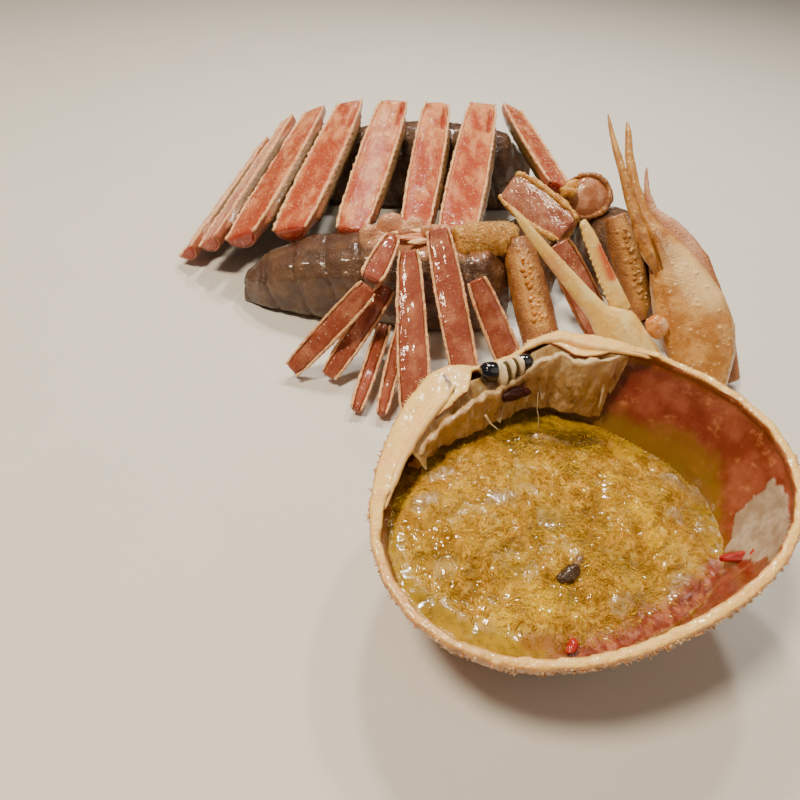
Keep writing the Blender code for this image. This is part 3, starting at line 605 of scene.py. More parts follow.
@dataclass(frozen=True)
class Flesh(Finish):
    """Wet translucent meat with pale zones, red streaks, dark red painted shade in its slots and at its near end, and
    small white flecks that are partly crystals and partly painted sparkle highlights.
    """

    base: Colour = (0.43, 0.058, 0.012)
    pale: Colour = (0.78, 0.30, 0.115)
    red: Colour = (0.34, 0.014, 0.006)
    fleck_and_glint: Colour = (0.98, 0.80, 0.60)
    fleck_and_glint_share: float = 0.95
    roughness: float = 0.48
    ripple: float = 0.26

    def lay(self, tree: Tree) -> None:
        """Lay the nodes.

        Args:
            tree: Where they go.
        """
        drawn = tree.noise(9.0, 4.0, 0.6, tree.stretched((1.0, 0.4, 1.0)))
        broad = tree.math("ADD", drawn, tree.times(tree.attribute("bleach"), 0.16))
        colour = tree.mix(tree.between(broad, 0.44, 0.72), self.base, self.pale)
        streak = tree.noise(2.6, 4.0, 0.65, tree.stretched((1.0, 0.35, 1.0)))
        colour = tree.mix(tree.times(tree.between(streak, 0.54, 0.74), 0.5), colour, self.red)
        colour = tree.mix(tree.times(tree.blotches(8.0, 0.60, 0.72, 3.0), 0.55), colour, self.red)
        colour = tree.over(colour, "rim", self.pale, 0.5)
        # Painted shade: deep red over the slot and the near end, on top of the flesh's own red.
        colour = tree.over(colour, "hollow", self.red, 0.9)
        # Small white flecks: partly crystals in the meat, partly painted sparkle highlights on the wet surface.
        flecks_and_glints = tree.math("SUBTRACT", 1.0, tree.between(tree.cells(1.5), 0.13, 0.24))
        flecks_and_glints = tree.times(tree.times(flecks_and_glints, tree.blotches(6.0, 0.44, 0.58, 3.0, 0.55)), self.fleck_and_glint_share)
        height = tree.math("ADD", tree.noise(0.9, 3.0, 0.65), tree.times(flecks_and_glints, 0.7))
        rough = tree.math("MULTIPLY_ADD", streak, 0.22, self.roughness - 0.14)
        tree.surface(
            tree.mix(flecks_and_glints, colour, self.fleck_and_glint), rough, tree.bump(height, 0.55), Specular_IOR_Level=0.2,
            Subsurface_Weight=0.2, Subsurface_Radius=(1.0, 0.35, 0.2), Subsurface_Scale=0.002,
            Coat_Weight=0.8, Coat_Roughness=0.07, Coat_Normal=tree.bump(tree.noise(1.6, 2.0, 0.6), self.ripple),
        )


@dataclass(frozen=True)
class LimbShell(Finish):
    """Split limb shell: a pale cut edge, a thin inner wall and a granular outer side."""

    edge: Colour = (0.90, 0.52, 0.25)
    edge_pink: Colour = (0.66, 0.24, 0.13)
    inner: Colour = (0.46, 0.13, 0.06)
    outer: Colour = (0.050, 0.022, 0.005)
    outer_pale: Colour = (0.17, 0.082, 0.020)
    roughness: float = 0.34

    def lay(self, tree: Tree) -> None:
        """Lay the nodes.

        Args:
            tree: Where they go.
        """
        granule = tree.cells(1.3)
        outer = tree.mix(tree.blotches(6.0, 0.42, 0.66), self.outer, self.outer_pale)
        outer = tree.mix(tree.times(tree.between(granule, 0.12, 0.42), 0.55), self.outer_pale, outer)
        colour = tree.over(self.inner, "outside", outer)
        colour = tree.over(
            colour, "edge", tree.mix(tree.blotches(2.2, 0.44, 0.66, 5.0, 0.65), self.edge, self.edge_pink)
        )
        height = tree.math("ADD", tree.times(granule, -0.6), tree.noise(0.8, 3.0))
        tree.surface(
            colour, self.roughness, tree.bump(height, 0.5), Subsurface_Weight=0.1, Coat_Roughness=0.14,
            Subsurface_Radius=(1.0, 0.5, 0.3), Subsurface_Scale=0.0015, Coat_Weight=0.25,
        )


@dataclass(frozen=True)
class Granular(Finish):
    """Whole shell: two mottled colours, tubercles of a third and fine grain."""

    base: Colour
    mottle: Colour
    knob: Colour
    dark: Colour
    flush: Colour = (0.62, 0.10, 0.02)
    mottle_size: float = 9.0
    grain: float = 1.0
    depth: float = 0.4
    roughness: float = 0.36
    coat: float = 0.4

    def lay(self, tree: Tree) -> None:
        """Lay the nodes.

        Args:
            tree: Where they go.
        """
        colour = tree.mix(tree.blotches(self.mottle_size, 0.40, 0.64), self.base, self.mottle)
        colour = tree.mix(tree.times(tree.blotches(2.0, 0.55, 0.74, 4.0, 0.65), 0.7), colour, self.dark)
        colour = tree.over(colour, "pale", self.knob)
        colour = tree.over(colour, "knob", self.knob, 0.85)
        colour = tree.over(colour, "flush", self.flush)
        colour = tree.over(colour, "shade", self.dark)
        height = tree.math("ADD", tree.times(tree.cells(self.grain), -0.7), tree.noise(0.7, 3.0))
        tree.surface(
            colour, self.roughness, tree.bump(height, self.depth), Subsurface_Weight=0.12, Coat_Roughness=0.16,
            Subsurface_Radius=(1.0, 0.55, 0.3), Subsurface_Scale=0.0015, Coat_Weight=self.coat,
        )


@dataclass(frozen=True)
class Bowl(Finish):
    """The upturned back shell: cream rim, tan-orange spiny outside and a glossy pink-red inside."""

    rim: Colour = (1.0, 0.62, 0.17)
    rim_flush: Colour = (0.86, 0.40, 0.14)
    outside: Colour = (0.64, 0.28, 0.085)
    outside_dark: Colour = (0.36, 0.13, 0.035)
    inside: Colour = (0.22, 0.034, 0.012)
    inside_pale: Colour = (0.40, 0.11, 0.060)
    film: Colour = (0.36, 0.25, 0.17)
    film_pale: Colour = (0.54, 0.43, 0.32)
    stain: Colour = (0.22, 0.13, 0.010)
    mark: Colour = (0.16, 0.06, 0.02)

    def lay(self, tree: Tree) -> None:
        """Lay the nodes.

        Args:
            tree: Where they go.
        """
        inside = tree.mix(tree.blotches(19.0, 0.42, 0.66), self.inside, self.inside_pale)
        inside = tree.mix(tree.times(tree.blotches(4.0, 0.56, 0.74, 3.0, 0.55), 0.35), inside, self.rim_flush)
        outside = tree.mix(tree.blotches(8.0, 0.42, 0.62), self.outside, self.outside_dark)
        colour = tree.over(tree.over(outside, "knob", self.rim), "inside", inside)
        cloudy = tree.math("MULTIPLY_ADD", tree.noise(7.0, 3.0), 0.7, 0.4)
        colour = tree.mix(tree.times(tree.attribute("stain"), cloudy), colour, self.stain)
        colour = tree.over(colour, "film", tree.mix(tree.blotches(5.0, 0.36, 0.66), self.film, self.film_pale))
        colour = tree.over(colour, "edge", tree.mix(tree.blotches(10.0, 0.50, 0.78), self.rim, self.rim_flush))
        colour = tree.over(colour, "mark", self.mark)
        height = tree.math("ADD", tree.times(tree.cells(1.3), -0.5), tree.noise(0.9, 3.0))
        height = tree.times(height, tree.math("MULTIPLY_ADD", tree.attribute("inside"), -0.75, 1.0))
        rough = tree.math("MULTIPLY_ADD", tree.attribute("inside"), -0.22, 0.42)
        tree.surface(
            colour, rough, tree.bump(height, 0.4), Subsurface_Weight=0.15, Subsurface_Radius=(1.0, 0.5, 0.3),
            Subsurface_Scale=0.002, Coat_Weight=0.6, Coat_Roughness=0.08,
            Coat_Normal=tree.bump(tree.noise(4.0, 3.0), 0.5),
        )


@dataclass(frozen=True)
class Contents(Finish):
    """Soft mustard contents: bright patches, olive liquid, grey jelly and pink scraps."""

    ochre: Colour = (0.72, 0.36, 0.02)
    bright: Colour = (1.0, 0.62, 0.0)
    olive: Colour = (0.38, 0.235, 0.008)
    dark: Colour = (0.11, 0.062, 0.004)
    pale: Colour = (0.94, 0.56, 0.05)
    jelly: Colour = (0.25, 0.145, 0.045)
    jelly_pale: Colour = (0.38, 0.25, 0.10)
    scrap: Colour = (0.25, 0.045, 0.020)
    scrap_pale: Colour = (0.48, 0.17, 0.09)

    def lay(self, tree: Tree) -> None:
        """Lay the nodes.

        Args:
            tree: Where they go.
        """
        fuzz = tree.noise(1.1, 5.0, 0.72)
        cloud = tree.blotches(3.4, 0.42, 0.64)
        colour = tree.mix(tree.blotches(9.0, 0.40, 0.64), self.ochre, self.pale)
        colour = tree.over(colour, "bright", self.bright)
        colour = tree.mix(tree.times(tree.between(fuzz, 0.52, 0.70), 0.55), colour, self.olive)
        colour = tree.over(colour, "wet", tree.mix(tree.times(cloud, 0.55), self.olive, self.dark), 0.85)
        colour = tree.over(colour, "shade", self.dark)
        colour = tree.over(colour, "jelly", tree.mix(cloud, self.jelly, self.jelly_pale))
        colour = tree.over(colour, "scrap", tree.mix(cloud, self.scrap, self.scrap_pale))
        gloss = tree.attribute("gloss")
        height = tree.times(fuzz, tree.math("MULTIPLY_ADD", gloss, -0.95, 1.0))
        tree.surface(
            colour, tree.math("MULTIPLY_ADD", gloss, -0.36, 0.5), tree.bump(height, 1.3), Subsurface_Weight=0.2,
            Subsurface_Radius=(1.0, 0.7, 0.2), Subsurface_Scale=0.0018, Coat_Weight=1.0, Coat_Roughness=0.04,
            Coat_Normal=tree.bump(tree.noise(5.0, 2.0, 0.45), 1.0),
        )


@dataclass(frozen=True)
class Soft(Finish):
    """Small wet soft pieces between two tones, more or less clear."""

    low: Colour
    high: Colour
    clear: float = 0.0
    roughness: float = 0.3
    coat: float = 0.5
    grain: float = 2.0

    def lay(self, tree: Tree) -> None:
        """Lay the nodes.

        Args:
            tree: Where they go.
        """
        tone = tree.math("ADD", tree.attribute("tone"), tree.times(tree.noise(self.grain, 4.0, 0.65), 0.8))
        colour = tree.mix(tree.between(tone, 0.45, 1.3), self.low, self.high)
        tree.surface(
            colour, self.roughness, tree.bump(tree.noise(self.grain * 0.6, 3.0), 0.5), IOR=1.37,
            Transmission_Weight=self.clear, Subsurface_Weight=0.25, Subsurface_Radius=(1.0, 0.8, 0.5),
            Subsurface_Scale=0.002, Coat_Weight=self.coat, Coat_Roughness=0.06,
        )


@dataclass(frozen=True)
class Membrane(Finish):
    """Thin beige skin with whitish folds, painted shade in brown down in the hollows of its folds, and a dark red
    mouth that is partly painted shade of the opening.
    """

    beige: Colour = (0.62, 0.35, 0.12)
    white: Colour = (0.90, 0.68, 0.38)
    brown: Colour = (0.30, 0.125, 0.035)
    mouth: Colour = (0.14, 0.012, 0.008)

    def lay(self, tree: Tree) -> None:
        """Lay the nodes.

        Args:
            tree: Where they go.
        """
        folds = tree.noise(3.2, 5.0, 0.65, tree.stretched((1.0, 1.0, 0.4)))
        colour = tree.mix(tree.between(folds, 0.50, 0.70), self.beige, self.white)
        # Painted shade: brown where the folds' noise is low. The bump sinks there too, so the fold hollows are
        # darkened.
        colour = tree.mix(tree.math("SUBTRACT", 1.0, tree.between(folds, 0.30, 0.46)), colour, self.brown)
        colour = tree.mix(tree.math("MAXIMUM", tree.attribute("pale"), tree.attribute("tone")), colour, self.white)
        # The mouth colour is partly the mouth's own dark red and partly painted shade of the opening.
        colour = tree.over(colour, "mouth", self.mouth)
        tree.surface(
            colour, 0.26, tree.bump(folds, 1.2), Transmission_Weight=0.2, Subsurface_Weight=0.35,
            Subsurface_Radius=(1.0, 0.75, 0.45), Subsurface_Scale=0.002, Coat_Weight=1.0, Coat_Roughness=0.05,
            Coat_Normal=tree.bump(tree.noise(2.0, 3.0), 0.7),
        )


@dataclass(frozen=True)
class Eye(Finish):
    """A black wet cornea on a cream stalk with olive-brown bands."""

    black: Colour = (0.006, 0.007, 0.011)
    cream: Colour = (0.80, 0.66, 0.46)
    band: Colour = (0.10, 0.065, 0.02)

    def lay(self, tree: Tree) -> None:
        """Lay the nodes.

        Args:
            tree: Where they go.
        """
        colour = tree.over(tree.over(self.cream, "band", self.band), "cornea", self.black)
        rough = tree.math("MULTIPLY_ADD", tree.attribute("cornea"), -0.22, 0.32)
        tree.surface(colour, rough, tree.bump(tree.noise(1.2, 3.0), 0.15), Coat_Weight=0.7, Coat_Roughness=0.05)


@dataclass(frozen=True)
class Floor(Finish):
    """Plain pale studio floor."""

    colour: Colour = (0.74, 0.72, 0.69)
    shade: Colour = (0.70, 0.68, 0.65)

    def lay(self, tree: Tree) -> None:
        """Lay the nodes.

        Args:
            tree: Where they go.
        """
        colour = tree.mix(tree.noise(60.0, 2.0), self.colour, self.shade)
        tree.surface(colour, 0.6, tree.bump(tree.noise(1.0, 2.0), 0.05))


# Pieces


@dataclass(frozen=True)
class Axis:
    """Where a split limb lies: its two ends, widths, depth and the direction that its cut face looks in."""

    near: Triple
    far: Triple
    width_near: float
    width_far: float
    depth: float
    face: Triple

    def locate(self, points: Array) -> tuple[Array, Array, Array]:
        """Say where points lie on the limb.

        Args:
            points: Points in the layout's frame.

        Returns:
            The share of the length, the share of the half width and the depth below the cut face.
        """
        first = np.array(self.near)
        way = np.array(self.far) - first
        length = np.linalg.norm(way)
        along = way / length
        out = np.array(self.face)
        out = out - along * out.dot(along)
        out /= np.linalg.norm(out)
        side = np.cross(along, out)
        offset = points - first
        share = offset @ along / length
        half = (self.width_near + (self.width_far - self.width_near) * np.clip(share, 0.0, 1.0)) / 2.0
        return share, (offset @ side) / half, -(offset @ out)


def lean(degrees: float) -> Triple:
    """The direction that a cut face looks in when its left edge is this much lower."""
    angle = math.radians(degrees)
    return (-math.sin(angle), 0.0, math.cos(angle))


SHIN_FACE: Triple = (0.0, -0.75, 0.66)

LIMBS: dict[str, Axis] = {
    "merus_1": Axis((0.2, 38, 43), (22, 194, 62.4), 24.2, 23.4, 11, lean(0)),
    "merus_2": Axis((-22.4, 38, 43), (-10, 193, 61.2), 18.3, 22.6, 11, lean(0)),
    "merus_3": Axis((-56.4, 38, 43), (-40.4, 193, 61.2), 20.5, 25, 11, lean(3)),
    "merus_4": Axis((-90, 40, 40), (-70.9, 192, 59.3), 25.2, 24, 11, lean(15)),
    "merus_5": Axis((-119, 44, 32), (-96.4, 192, 53.3), 26, 22, 11, lean(26)),
    "merus_6": Axis((-141, 52, 23), (-116, 190, 46.5), 20, 15, 10, lean(40)),
    "merus_7": Axis((-158, 60, 11), (-134, 186, 31), 18.6, 14.4, 9, lean(48)),
    "merus_8": Axis((65, 98, 47), (43, 196, 60.5), 23, 21, 10, lean(-24)),
    "shin_1": Axis((-78.5, -38.5, 6), (-42.5, -20.5, 43.5), 11, 13, 7, SHIN_FACE),
    "shin_2": Axis((-60, -41, 6), (-34, -7, 36), 10.5, 12, 6.5, SHIN_FACE),
    "shin_3": Axis((-44.5, -62, 6), (-34.5, -11, 17), 7.5, 8.5, 5.5, SHIN_FACE),
    "shin_4": Axis((-33, -64, 6), (-25, -9, 19), 7, 8.5, 5.5, SHIN_FACE),
    "shin_5": Axis((-17.5, -66, 6), (-24.8, 1, 52.5), 16.8, 13, 7.5, SHIN_FACE),
    "shin_6": Axis((8, -52, 5.5), (-11, 16, 56.5), 14.5, 15.5, 7.5, SHIN_FACE),
    "shin_7": Axis((33.5, -41, 4.5), (8, -13, 46), 14.5, 12.5, 7.5, SHIN_FACE),
    "shin_8": Axis((-62, 92, 9), (20, 104, 9), 12, 10, 7, (0.0, 0.0, 1.0)),
    "carpus_1": Axis((-41.4, -17, 47), (-32.4, 10, 55), 13, 9.6, 6, SHIN_FACE),
}


@dataclass
class SplitLimbs:
    """The split legs: a trough of shell with wet flesh in it for each, and fine droplets on the flesh whose near-white
    colour is partly painted glint.
    """

    shell_voxel: float = 0.86
    flesh_voxel: float = 0.82
    granule: float = 0.4
    fibre: float = 0.22
    lump: float = 0.55
    slot_depth: float = 3.4
    band: float = 2.6
    droplets: int = 230
    fan_droplets: int = 19
    fan_fineness: float = 0.7

    def build(self) -> None:
        """Grow and dress every limb."""
        shell = LimbShell("row_shell").build()
        thin = LimbShell("fan_shell", outer=(0.46, 0.20, 0.10), outer_pale=(0.72, 0.44, 0.25)).build()
        row = Flesh("row_flesh").build()
        fan = Flesh(
            "fan_flesh", base=(0.30, 0.062, 0.026), pale=(0.50, 0.18, 0.09), red=(0.22, 0.016, 0.008),
            fleck_and_glint_share=0.2, ripple=0.06,
        ).build()
        places = []
        for index, (name, axis) in enumerate(LIMBS.items()):
            in_row = name.startswith("merus")
            fine = 1.0 if in_row else self.fan_fineness
            self.dress_shell(name, axis, shell if in_row else thin, fine, index)
            skin = self.dress_flesh(name, axis, row if in_row else fan, fine, index)
            places.append(self.spots(skin, axis, self.droplets if in_row else self.fan_droplets, index))
        spots = np.concatenate(places)
        # The droplets are moisture beads. Their near-white colour is partly painted glint, so they show as sparkles.
        sizes = 0.16 + 0.26 * np.random.default_rng(SEED).random(len(spots)) ** 2
        wet = Soft("droplet", (0.95, 0.66, 0.40), (1.0, 0.86, 0.64), clear=0.1, roughness=0.08).build()
        add_beads("flesh_droplets", spots, sizes, wet)

    def spots(self, skin: Skin, axis: Axis, count: int, index: int) -> Array:
        """Pick where droplets sit on one limb's flesh.

        Args:
            skin: The flesh.
            axis: Where the limb lies.
            count: How many to pick at most.
            index: The limb's number, which seeds the pick.

        Returns:
            The places.
        """
        _, across, sunk = axis.locate(skin.laid)
        patch = waves(skin.points, 9.0, 47 + index)
        free = np.flatnonzero((sunk < 1.6) & (np.abs(across) < 0.8) & (patch > -0.2))
        draw = np.random.default_rng(SEED + index)
        return skin.points[draw.choice(free, min(count, len(free)), replace=False)]

    def dress_shell(self, name: str, axis: Axis, material: Material, fine: float, index: int) -> None:
        """Grow one limb's shell: a worn cut edge and a granular outside.

        Args:
            name: The limb's name.
            axis: Where it lies.
            material: Its finish.
            fine: A share of the usual mesh size.
            index: The limb's number, which seeds its noise.
        """
        skin = Skin(name + "_shell", self.shell_voxel * fine, 2)
        _, across, sunk = axis.locate(skin.laid)
        normals = skin.normals()
        edge = 1.0 - ease_between(sunk + 0.35 * layered(skin.points, 3.0, 7), 0.8, 1.7)
        radial = np.sqrt(across**2 + (sunk / axis.depth) ** 2)
        outside = ease_between(radial, 0.90, 0.96) * (1.0 - edge)
        skin.push(edge * (0.9 * fine - 0.55 + 0.9 * fine * layered(skin.points, 3.6, 11 + index)), normals)
        skin.push(outside * (0.3 + self.granule * grains(skin.points, 1.9, 3 + index)), normals)
        if name.startswith("merus"):
            band = outside * ease_between(across, 0.35, 0.95) * ease_between(sunk, 1.2, 3.2)
            skin.push(band * (self.band + 0.5 * layered(skin.points, 4.0, 61 + index)), normals)
        skin.paint(edge=edge, outside=outside)
        skin.finish(material)

    def dress_flesh(self, name: str, axis: Axis, material: Material, fine: float, index: int) -> Skin:
        """Grow one limb's flesh: fibres along it, soft lumps, and a slot at its far end, with dark red painted shade
        in the slot and at the near end.

        Args:
            name: The limb's name.
            axis: Where it lies.
            material: Its finish.
            fine: A share of the usual mesh size.
            index: The limb's number, which seeds its noise.

        Returns:
            The dressed skin.
        """
        skin = Skin(name + "_flesh", self.flesh_voxel * fine, 3)
        share, across, sunk = axis.locate(skin.laid)
        normals = skin.normals()
        top = 1.0 - ease_between(sunk, 0.5, 2.5)
        skin.push(0.5 * (1.0 - top) + 0.35 * top * ease_between(np.abs(across), 0.6, 0.85), normals)
        length = float(np.linalg.norm(np.array(axis.far) - np.array(axis.near)))
        run = np.stack([share * length / 9.0, across * axis.width_near / 2.0, sunk], axis=1)
        fibre = self.fibre * layered(run, 1.1, 5 + index, 2)
        lump = self.lump * layered(skin.points, 8.0, 23 + index)
        slit = np.zeros(len(skin.points))
        bleach = np.zeros(len(skin.points))
        if name.startswith("merus"):
            # Painted shade: the slot is cut in, then painted deep red through the hollow value. The near end of the
            # flesh gets the same painted shade.
            start = 0.72 + 0.02 * (index % 3)
            slit = np.exp(-(((across - 0.60) / 0.13) ** 2)) * ease_between(share, start, start + 0.05)
            slit *= 1.0 - ease_between(share, start + 0.20, start + 0.24)
            skin.push(-self.slot_depth * slit * top, normals)
            bleach = ease_between(share, 0.45, 0.9) * (0.4 if index in (3, 4, 7) else 1.0)
            slit = np.maximum(slit, 0.6 * (1.0 - ease_between(share, 0.005, 0.03)))
        skin.push(top * (fibre + lump), normals)
        skin.paint(rim=top * ease_between(np.abs(across), 0.66, 0.88), hollow=slit, bleach=bleach)
        skin.finish(material)
        return skin


# Corners of the film on the bowl's inside, as angle and height
FILM_PATCH: Table = ((9, 48.8), (3, 50.9), (-20, 52.7), (-23, 46.5), (-13, 34.0), (-5, 27.5), (6, 32.8), (8, 41.5))

# How high the stain stands on the bowl's inside at each angle
STAIN_TOP: Table = (
    (-180, 37.0), (-140, 35.5), (-110, 34.5), (-60, 28.0), (-11, 27.5), (4, 28.5), (14, 32.0), (22, 37.0),
    (32, 41.5), (46, 38.5), (63, 37.0), (90, 40.0), (120, 42.0), (150, 40.0), (180, 37.0),
)

# How far the dry mound reaches from the bowl's middle at each angle
DRY_REACH: Table = (
    (-180, 58), (-150, 56), (-110, 44), (-85, 38), (-60, 33), (-35, 36),
    (-15, 42), (15, 46), (50, 50), (90, 33), (130, 46), (180, 58),
)

BRIGHT_PATCHES: tuple[tuple[Triple, float], ...] = (
    ((68, -97, 30), 7.0), ((61, -104, 30), 6.0), ((59, -135, 35), 6.5), ((19, -171, 36), 7.0), ((-23, -136, 35), 5.0),
    ((52, -120, 34), 5.0), ((8, -178, 34), 5.0), ((60, -146, 34), 4.5),
)

JELLY: tuple[Streak, ...] = (
    ((9.0, -136.0, 36.0), (13.0, -134.0, 36.0), 6.5), ((76.0, -116.0, 29.0), (86.0, -122.0, 28.0), 6.5),
    ((-12.0, -126.0, 35.0), (-7.0, -123.0, 35.0), 5.0), ((-17.0, -140.0, 35.8), (-12.0, -137.0, 35.8), 5.5),
    ((64.0, -162.0, 31.0), (68.0, -159.0, 31.0), 6.5), ((42.0, -171.0, 33.5), (46.0, -168.0, 33.5), 5.0),
    ((27.0, -105.0, 34.5), (38.0, -103.0, 34.5), 4.5), ((72.0, -132.0, 31.0), (76.0, -140.0, 31.0), 5.0),
)

SCRAPS: tuple[Streak, ...] = (
    ((72.0, -158.0, 29.5), (83.0, -152.0, 29.0), 6.0), ((66.0, -168.0, 30.0), (78.0, -163.0, 29.0), 6.0),
    ((44.0, -179.0, 32.0), (60.0, -172.0, 31.0), 5.0), ((14.0, -183.0, 33.8), (34.0, -182.0, 33.0), 4.5),
)

RED_SCRAPS: tuple[Lump, ...] = (
    Lump((86.0, -150.0, 33.0), (6.0, 1.6, 1.6), 12, 0.2), Lump((92.0, -150.0, 37.5), (4.5, 1.3, 1.4), 22, 0.4),
    Lump((26.4, -184.0, 35.0), (1.6, 2.6, 1.4), -30, 0.3),
)

DARK_SCRAPS: tuple[Lump, ...] = (
    Lump((29.0, -161.5, 36.4), (4.2, 2.2, 1.4), 40, 0.2), Lump((33.0, -157.0, 36.2), (3.0, 1.6, 1.0), 55, 0.6),
)


@dataclass
class ShellBowl:
    """The upturned back shell with its contents."""

    voxel: float = 0.88
    contents_voxel: float = 0.72
    fibres: int = 14000
    spinules: int = 2400

    def build(self) -> None:
        """Grow and dress the bowl and what is in it."""
        self.dress_bowl()
        self.dress_contents()
        red = Soft("red_scrap", (0.34, 0.01, 0.006), (0.66, 0.07, 0.03), roughness=0.18).build()
        add_lumps("red_scraps", RED_SCRAPS, red, 0.4)
        dark = Soft("dark_scrap", (0.045, 0.022, 0.012), (0.24, 0.12, 0.05), roughness=0.2).build()
        add_lumps("dark_scraps", DARK_SCRAPS, dark, 0.5)

    def around(self, points: Array) -> tuple[Array, Array]:
        """The angle in degrees and the distance of points about the bowl's middle."""
        offset = points - BOWL_MIDDLE
        return np.degrees(np.arctan2(offset[:, 1], offset[:, 0])), np.hypot(offset[:, 0], offset[:, 1])

    def dress_bowl(self) -> None:
        """Grow the shell: grains outside, a smooth wavy inside, a worn rim and fine spinules."""
        skin = Skin("carapace", self.voxel, 1)
        normals = skin.normals()
        angle, reach = self.around(skin.laid)
        flat = (skin.laid - BOWL_MIDDLE)[:, :2] / np.maximum(reach, 1e-6)[:, None]
        facing = (normals[:, :2] * flat).sum(axis=1) - normals[:, 2] * 0.6
        inside = 1.0 - ease_between(facing, -0.35, 0.15)
        top = ease_between(normals[:, 2], 0.50, 0.85) * ease_between(skin.points[:, 2], 38.0, 44.0)
        inside = inside * (1.0 - top)
        outside = (1.0 - inside) * (1.0 - top)
        ragged = 2.0 * layered(skin.points, 5.0, 53)
        film = within(angle + 1.2 * ragged, skin.points[:, 2] + ragged, FILM_PATCH) * inside
        level = np.interp(angle, *zip(*STAIN_TOP)) + 2.0 * ragged
        stain = inside * (1.0 - ease_between(skin.points[:, 2] - level, -5.0, 2.5))
        grain = grains(skin.points, 2.2, 41, 0.85)
        skin.push(outside * 0.4 * grain, normals)
        skin.push(inside * 0.45 * layered(skin.points, 12.0, 17), normals)
        skin.push(top * (0.9 * layered(skin.points, 7.0, 19) + 0.3 * layered(skin.points, 1.8, 20, 2)), normals)
        skin.push(film * 0.35, normals)
        mark = near(skin.laid, (-9.0, -92.8, 53.7), 1.6, (-6.2, -100.9, 53.3))
        knob = outside * ease_between(grain, 0.5, 0.9) * 0.6
        skin.paint(inside=inside, edge=top, knob=knob, film=film, stain=stain, mark=mark * top)
        skin.finish(Bowl("bowl_shell").build())
        self.add_spinules(skin, outside)

    def add_spinules(self, skin: Skin, outside: Array) -> None:
        """Set fine spinules on the outside of the shell, thickest along its rim.

        Args:
            skin: The shell.
            outside: How far each point is on the outside.
        """
        draw = np.random.default_rng(SEED + 2)
        count = self.spinules
        normals = skin.normals()
        high = ease_between(skin.points[:, 2], 32.0, 46.0) ** 2
        weight = (outside > 0.8) * (0.03 + high) * (normals[:, 2] < 0.5) * (skin.points[:, 2] > 5.0)
        picked = draw.choice(len(weight), count, replace=False, p=weight / weight.sum())
        roots = skin.points[picked]
        ways = normals[picked] + 0.35 * draw.normal(size=(count, 3))
        ways[:, 2] += 0.25
        ways /= np.linalg.norm(ways, axis=1, keepdims=True)
        reach = 0.5 + 0.8 * draw.random(count) ** 2 * (1.0 + (roots[:, 0] < 0.0))
        paths = np.stack([roots - 0.4 * ways, roots + 0.35 * ways, roots + ways * reach[:, None]], axis=1)
        radii = np.stack([0.34 + 0.26 * draw.random(count), np.full(count, 0.28)], axis=1)
        horn = Soft("spinule", (0.62, 0.24, 0.08), (0.88, 0.58, 0.32), roughness=0.3, coat=0.3).build()
        add_strands("bowl_spinules", paths, radii, draw.random(count), horn, 5)

    def dress_contents(self) -> None:
        """Grow the contents: a lumpy fuzzy mound with wet edges and short fibres all over."""
        skin = Skin("carapace_filling", self.contents_voxel, 2)
        normals = skin.normals()
        laid = skin.laid
        top = ease_between(normals[:, 2], 0.2, 0.7)
        angle, reach = self.around(laid)
        wide = np.interp(angle, *zip(*DRY_REACH))
        skin.push(1.1 * (1.0 - top), normals)
        edge = ease_between(reach + 2.5 * layered(laid, 9.0, 61), wide - 3.0, wide + 4.0)
        bright = strongest(*(near(laid, place, size) for place, size in BRIGHT_PATCHES))
        bright = np.clip(bright * 2.2 + 0.7 * layered(laid, 4.0, 71), 0.0, 1.0) * (bright > 0.02)
        pools = 0.8 * ease_between(layered(laid, 9.0, 29), 0.14, 0.36) * (1.0 - bright)
        wet = np.maximum(pools, edge)
        jelly = self.patches(laid, JELLY)
        sector = ease_between(angle, -114.0, -100.0) * (1.0 - ease_between(angle, -14.0, -4.0))
        scrap = np.maximum(0.6 * self.patches(laid, SCRAPS), edge * sector)
        gloss = strongest(wet, jelly, scrap)
        rise = 3.6 * layered(laid, 13.0, 3) + 1.4 * layered(laid, 4.5, 8, 2)
        ripple = 0.35 * layered(laid, 3.0, 113, 2)
        lift = rise * (1.0 - 0.75 * gloss) - 0.8 * pools + ripple * gloss + 1.5 * jelly + 0.5 * scrap
        skin.push(top * lift, normals)
        shade = strongest(
            0.8 * near(laid, (43.0, -140.0, 35.0), 7.0) * (layered(laid, 4.0, 83) > 0.0),
            near(laid, (20.0, -106.0, 34.0), 12.0, (46.0, -100.0, 33.0)),
            0.6 * ease_between(-rise, 0.3, 1.7) * (1.0 - bright),
        )
        skin.paint(bright=bright, wet=wet * top, shade=shade * top)
        skin.paint(jelly=jelly * top, scrap=scrap * top, gloss=gloss * top)
        skin.finish(Contents("bowl_contents").build())
        self.add_fibres(skin, top * (1.0 - 0.95 * gloss), bright)

    def patches(self, laid: Array, streaks: tuple[Streak, ...]) -> Array:
        """Lay soft-edged uneven patches along short lines.

        Args:
            laid: Points in the layout's frame.
            streaks: The lines with their reach.

        Returns:
            Values from 0 to 0.85.
        """
        total = strongest(*(near(laid, start, radius, end) for start, end, radius in streaks))
        return 0.85 * ease_between(total + 0.3 * layered(laid, 6.0, 107), 0.15, 0.9) * (total > 0.0)

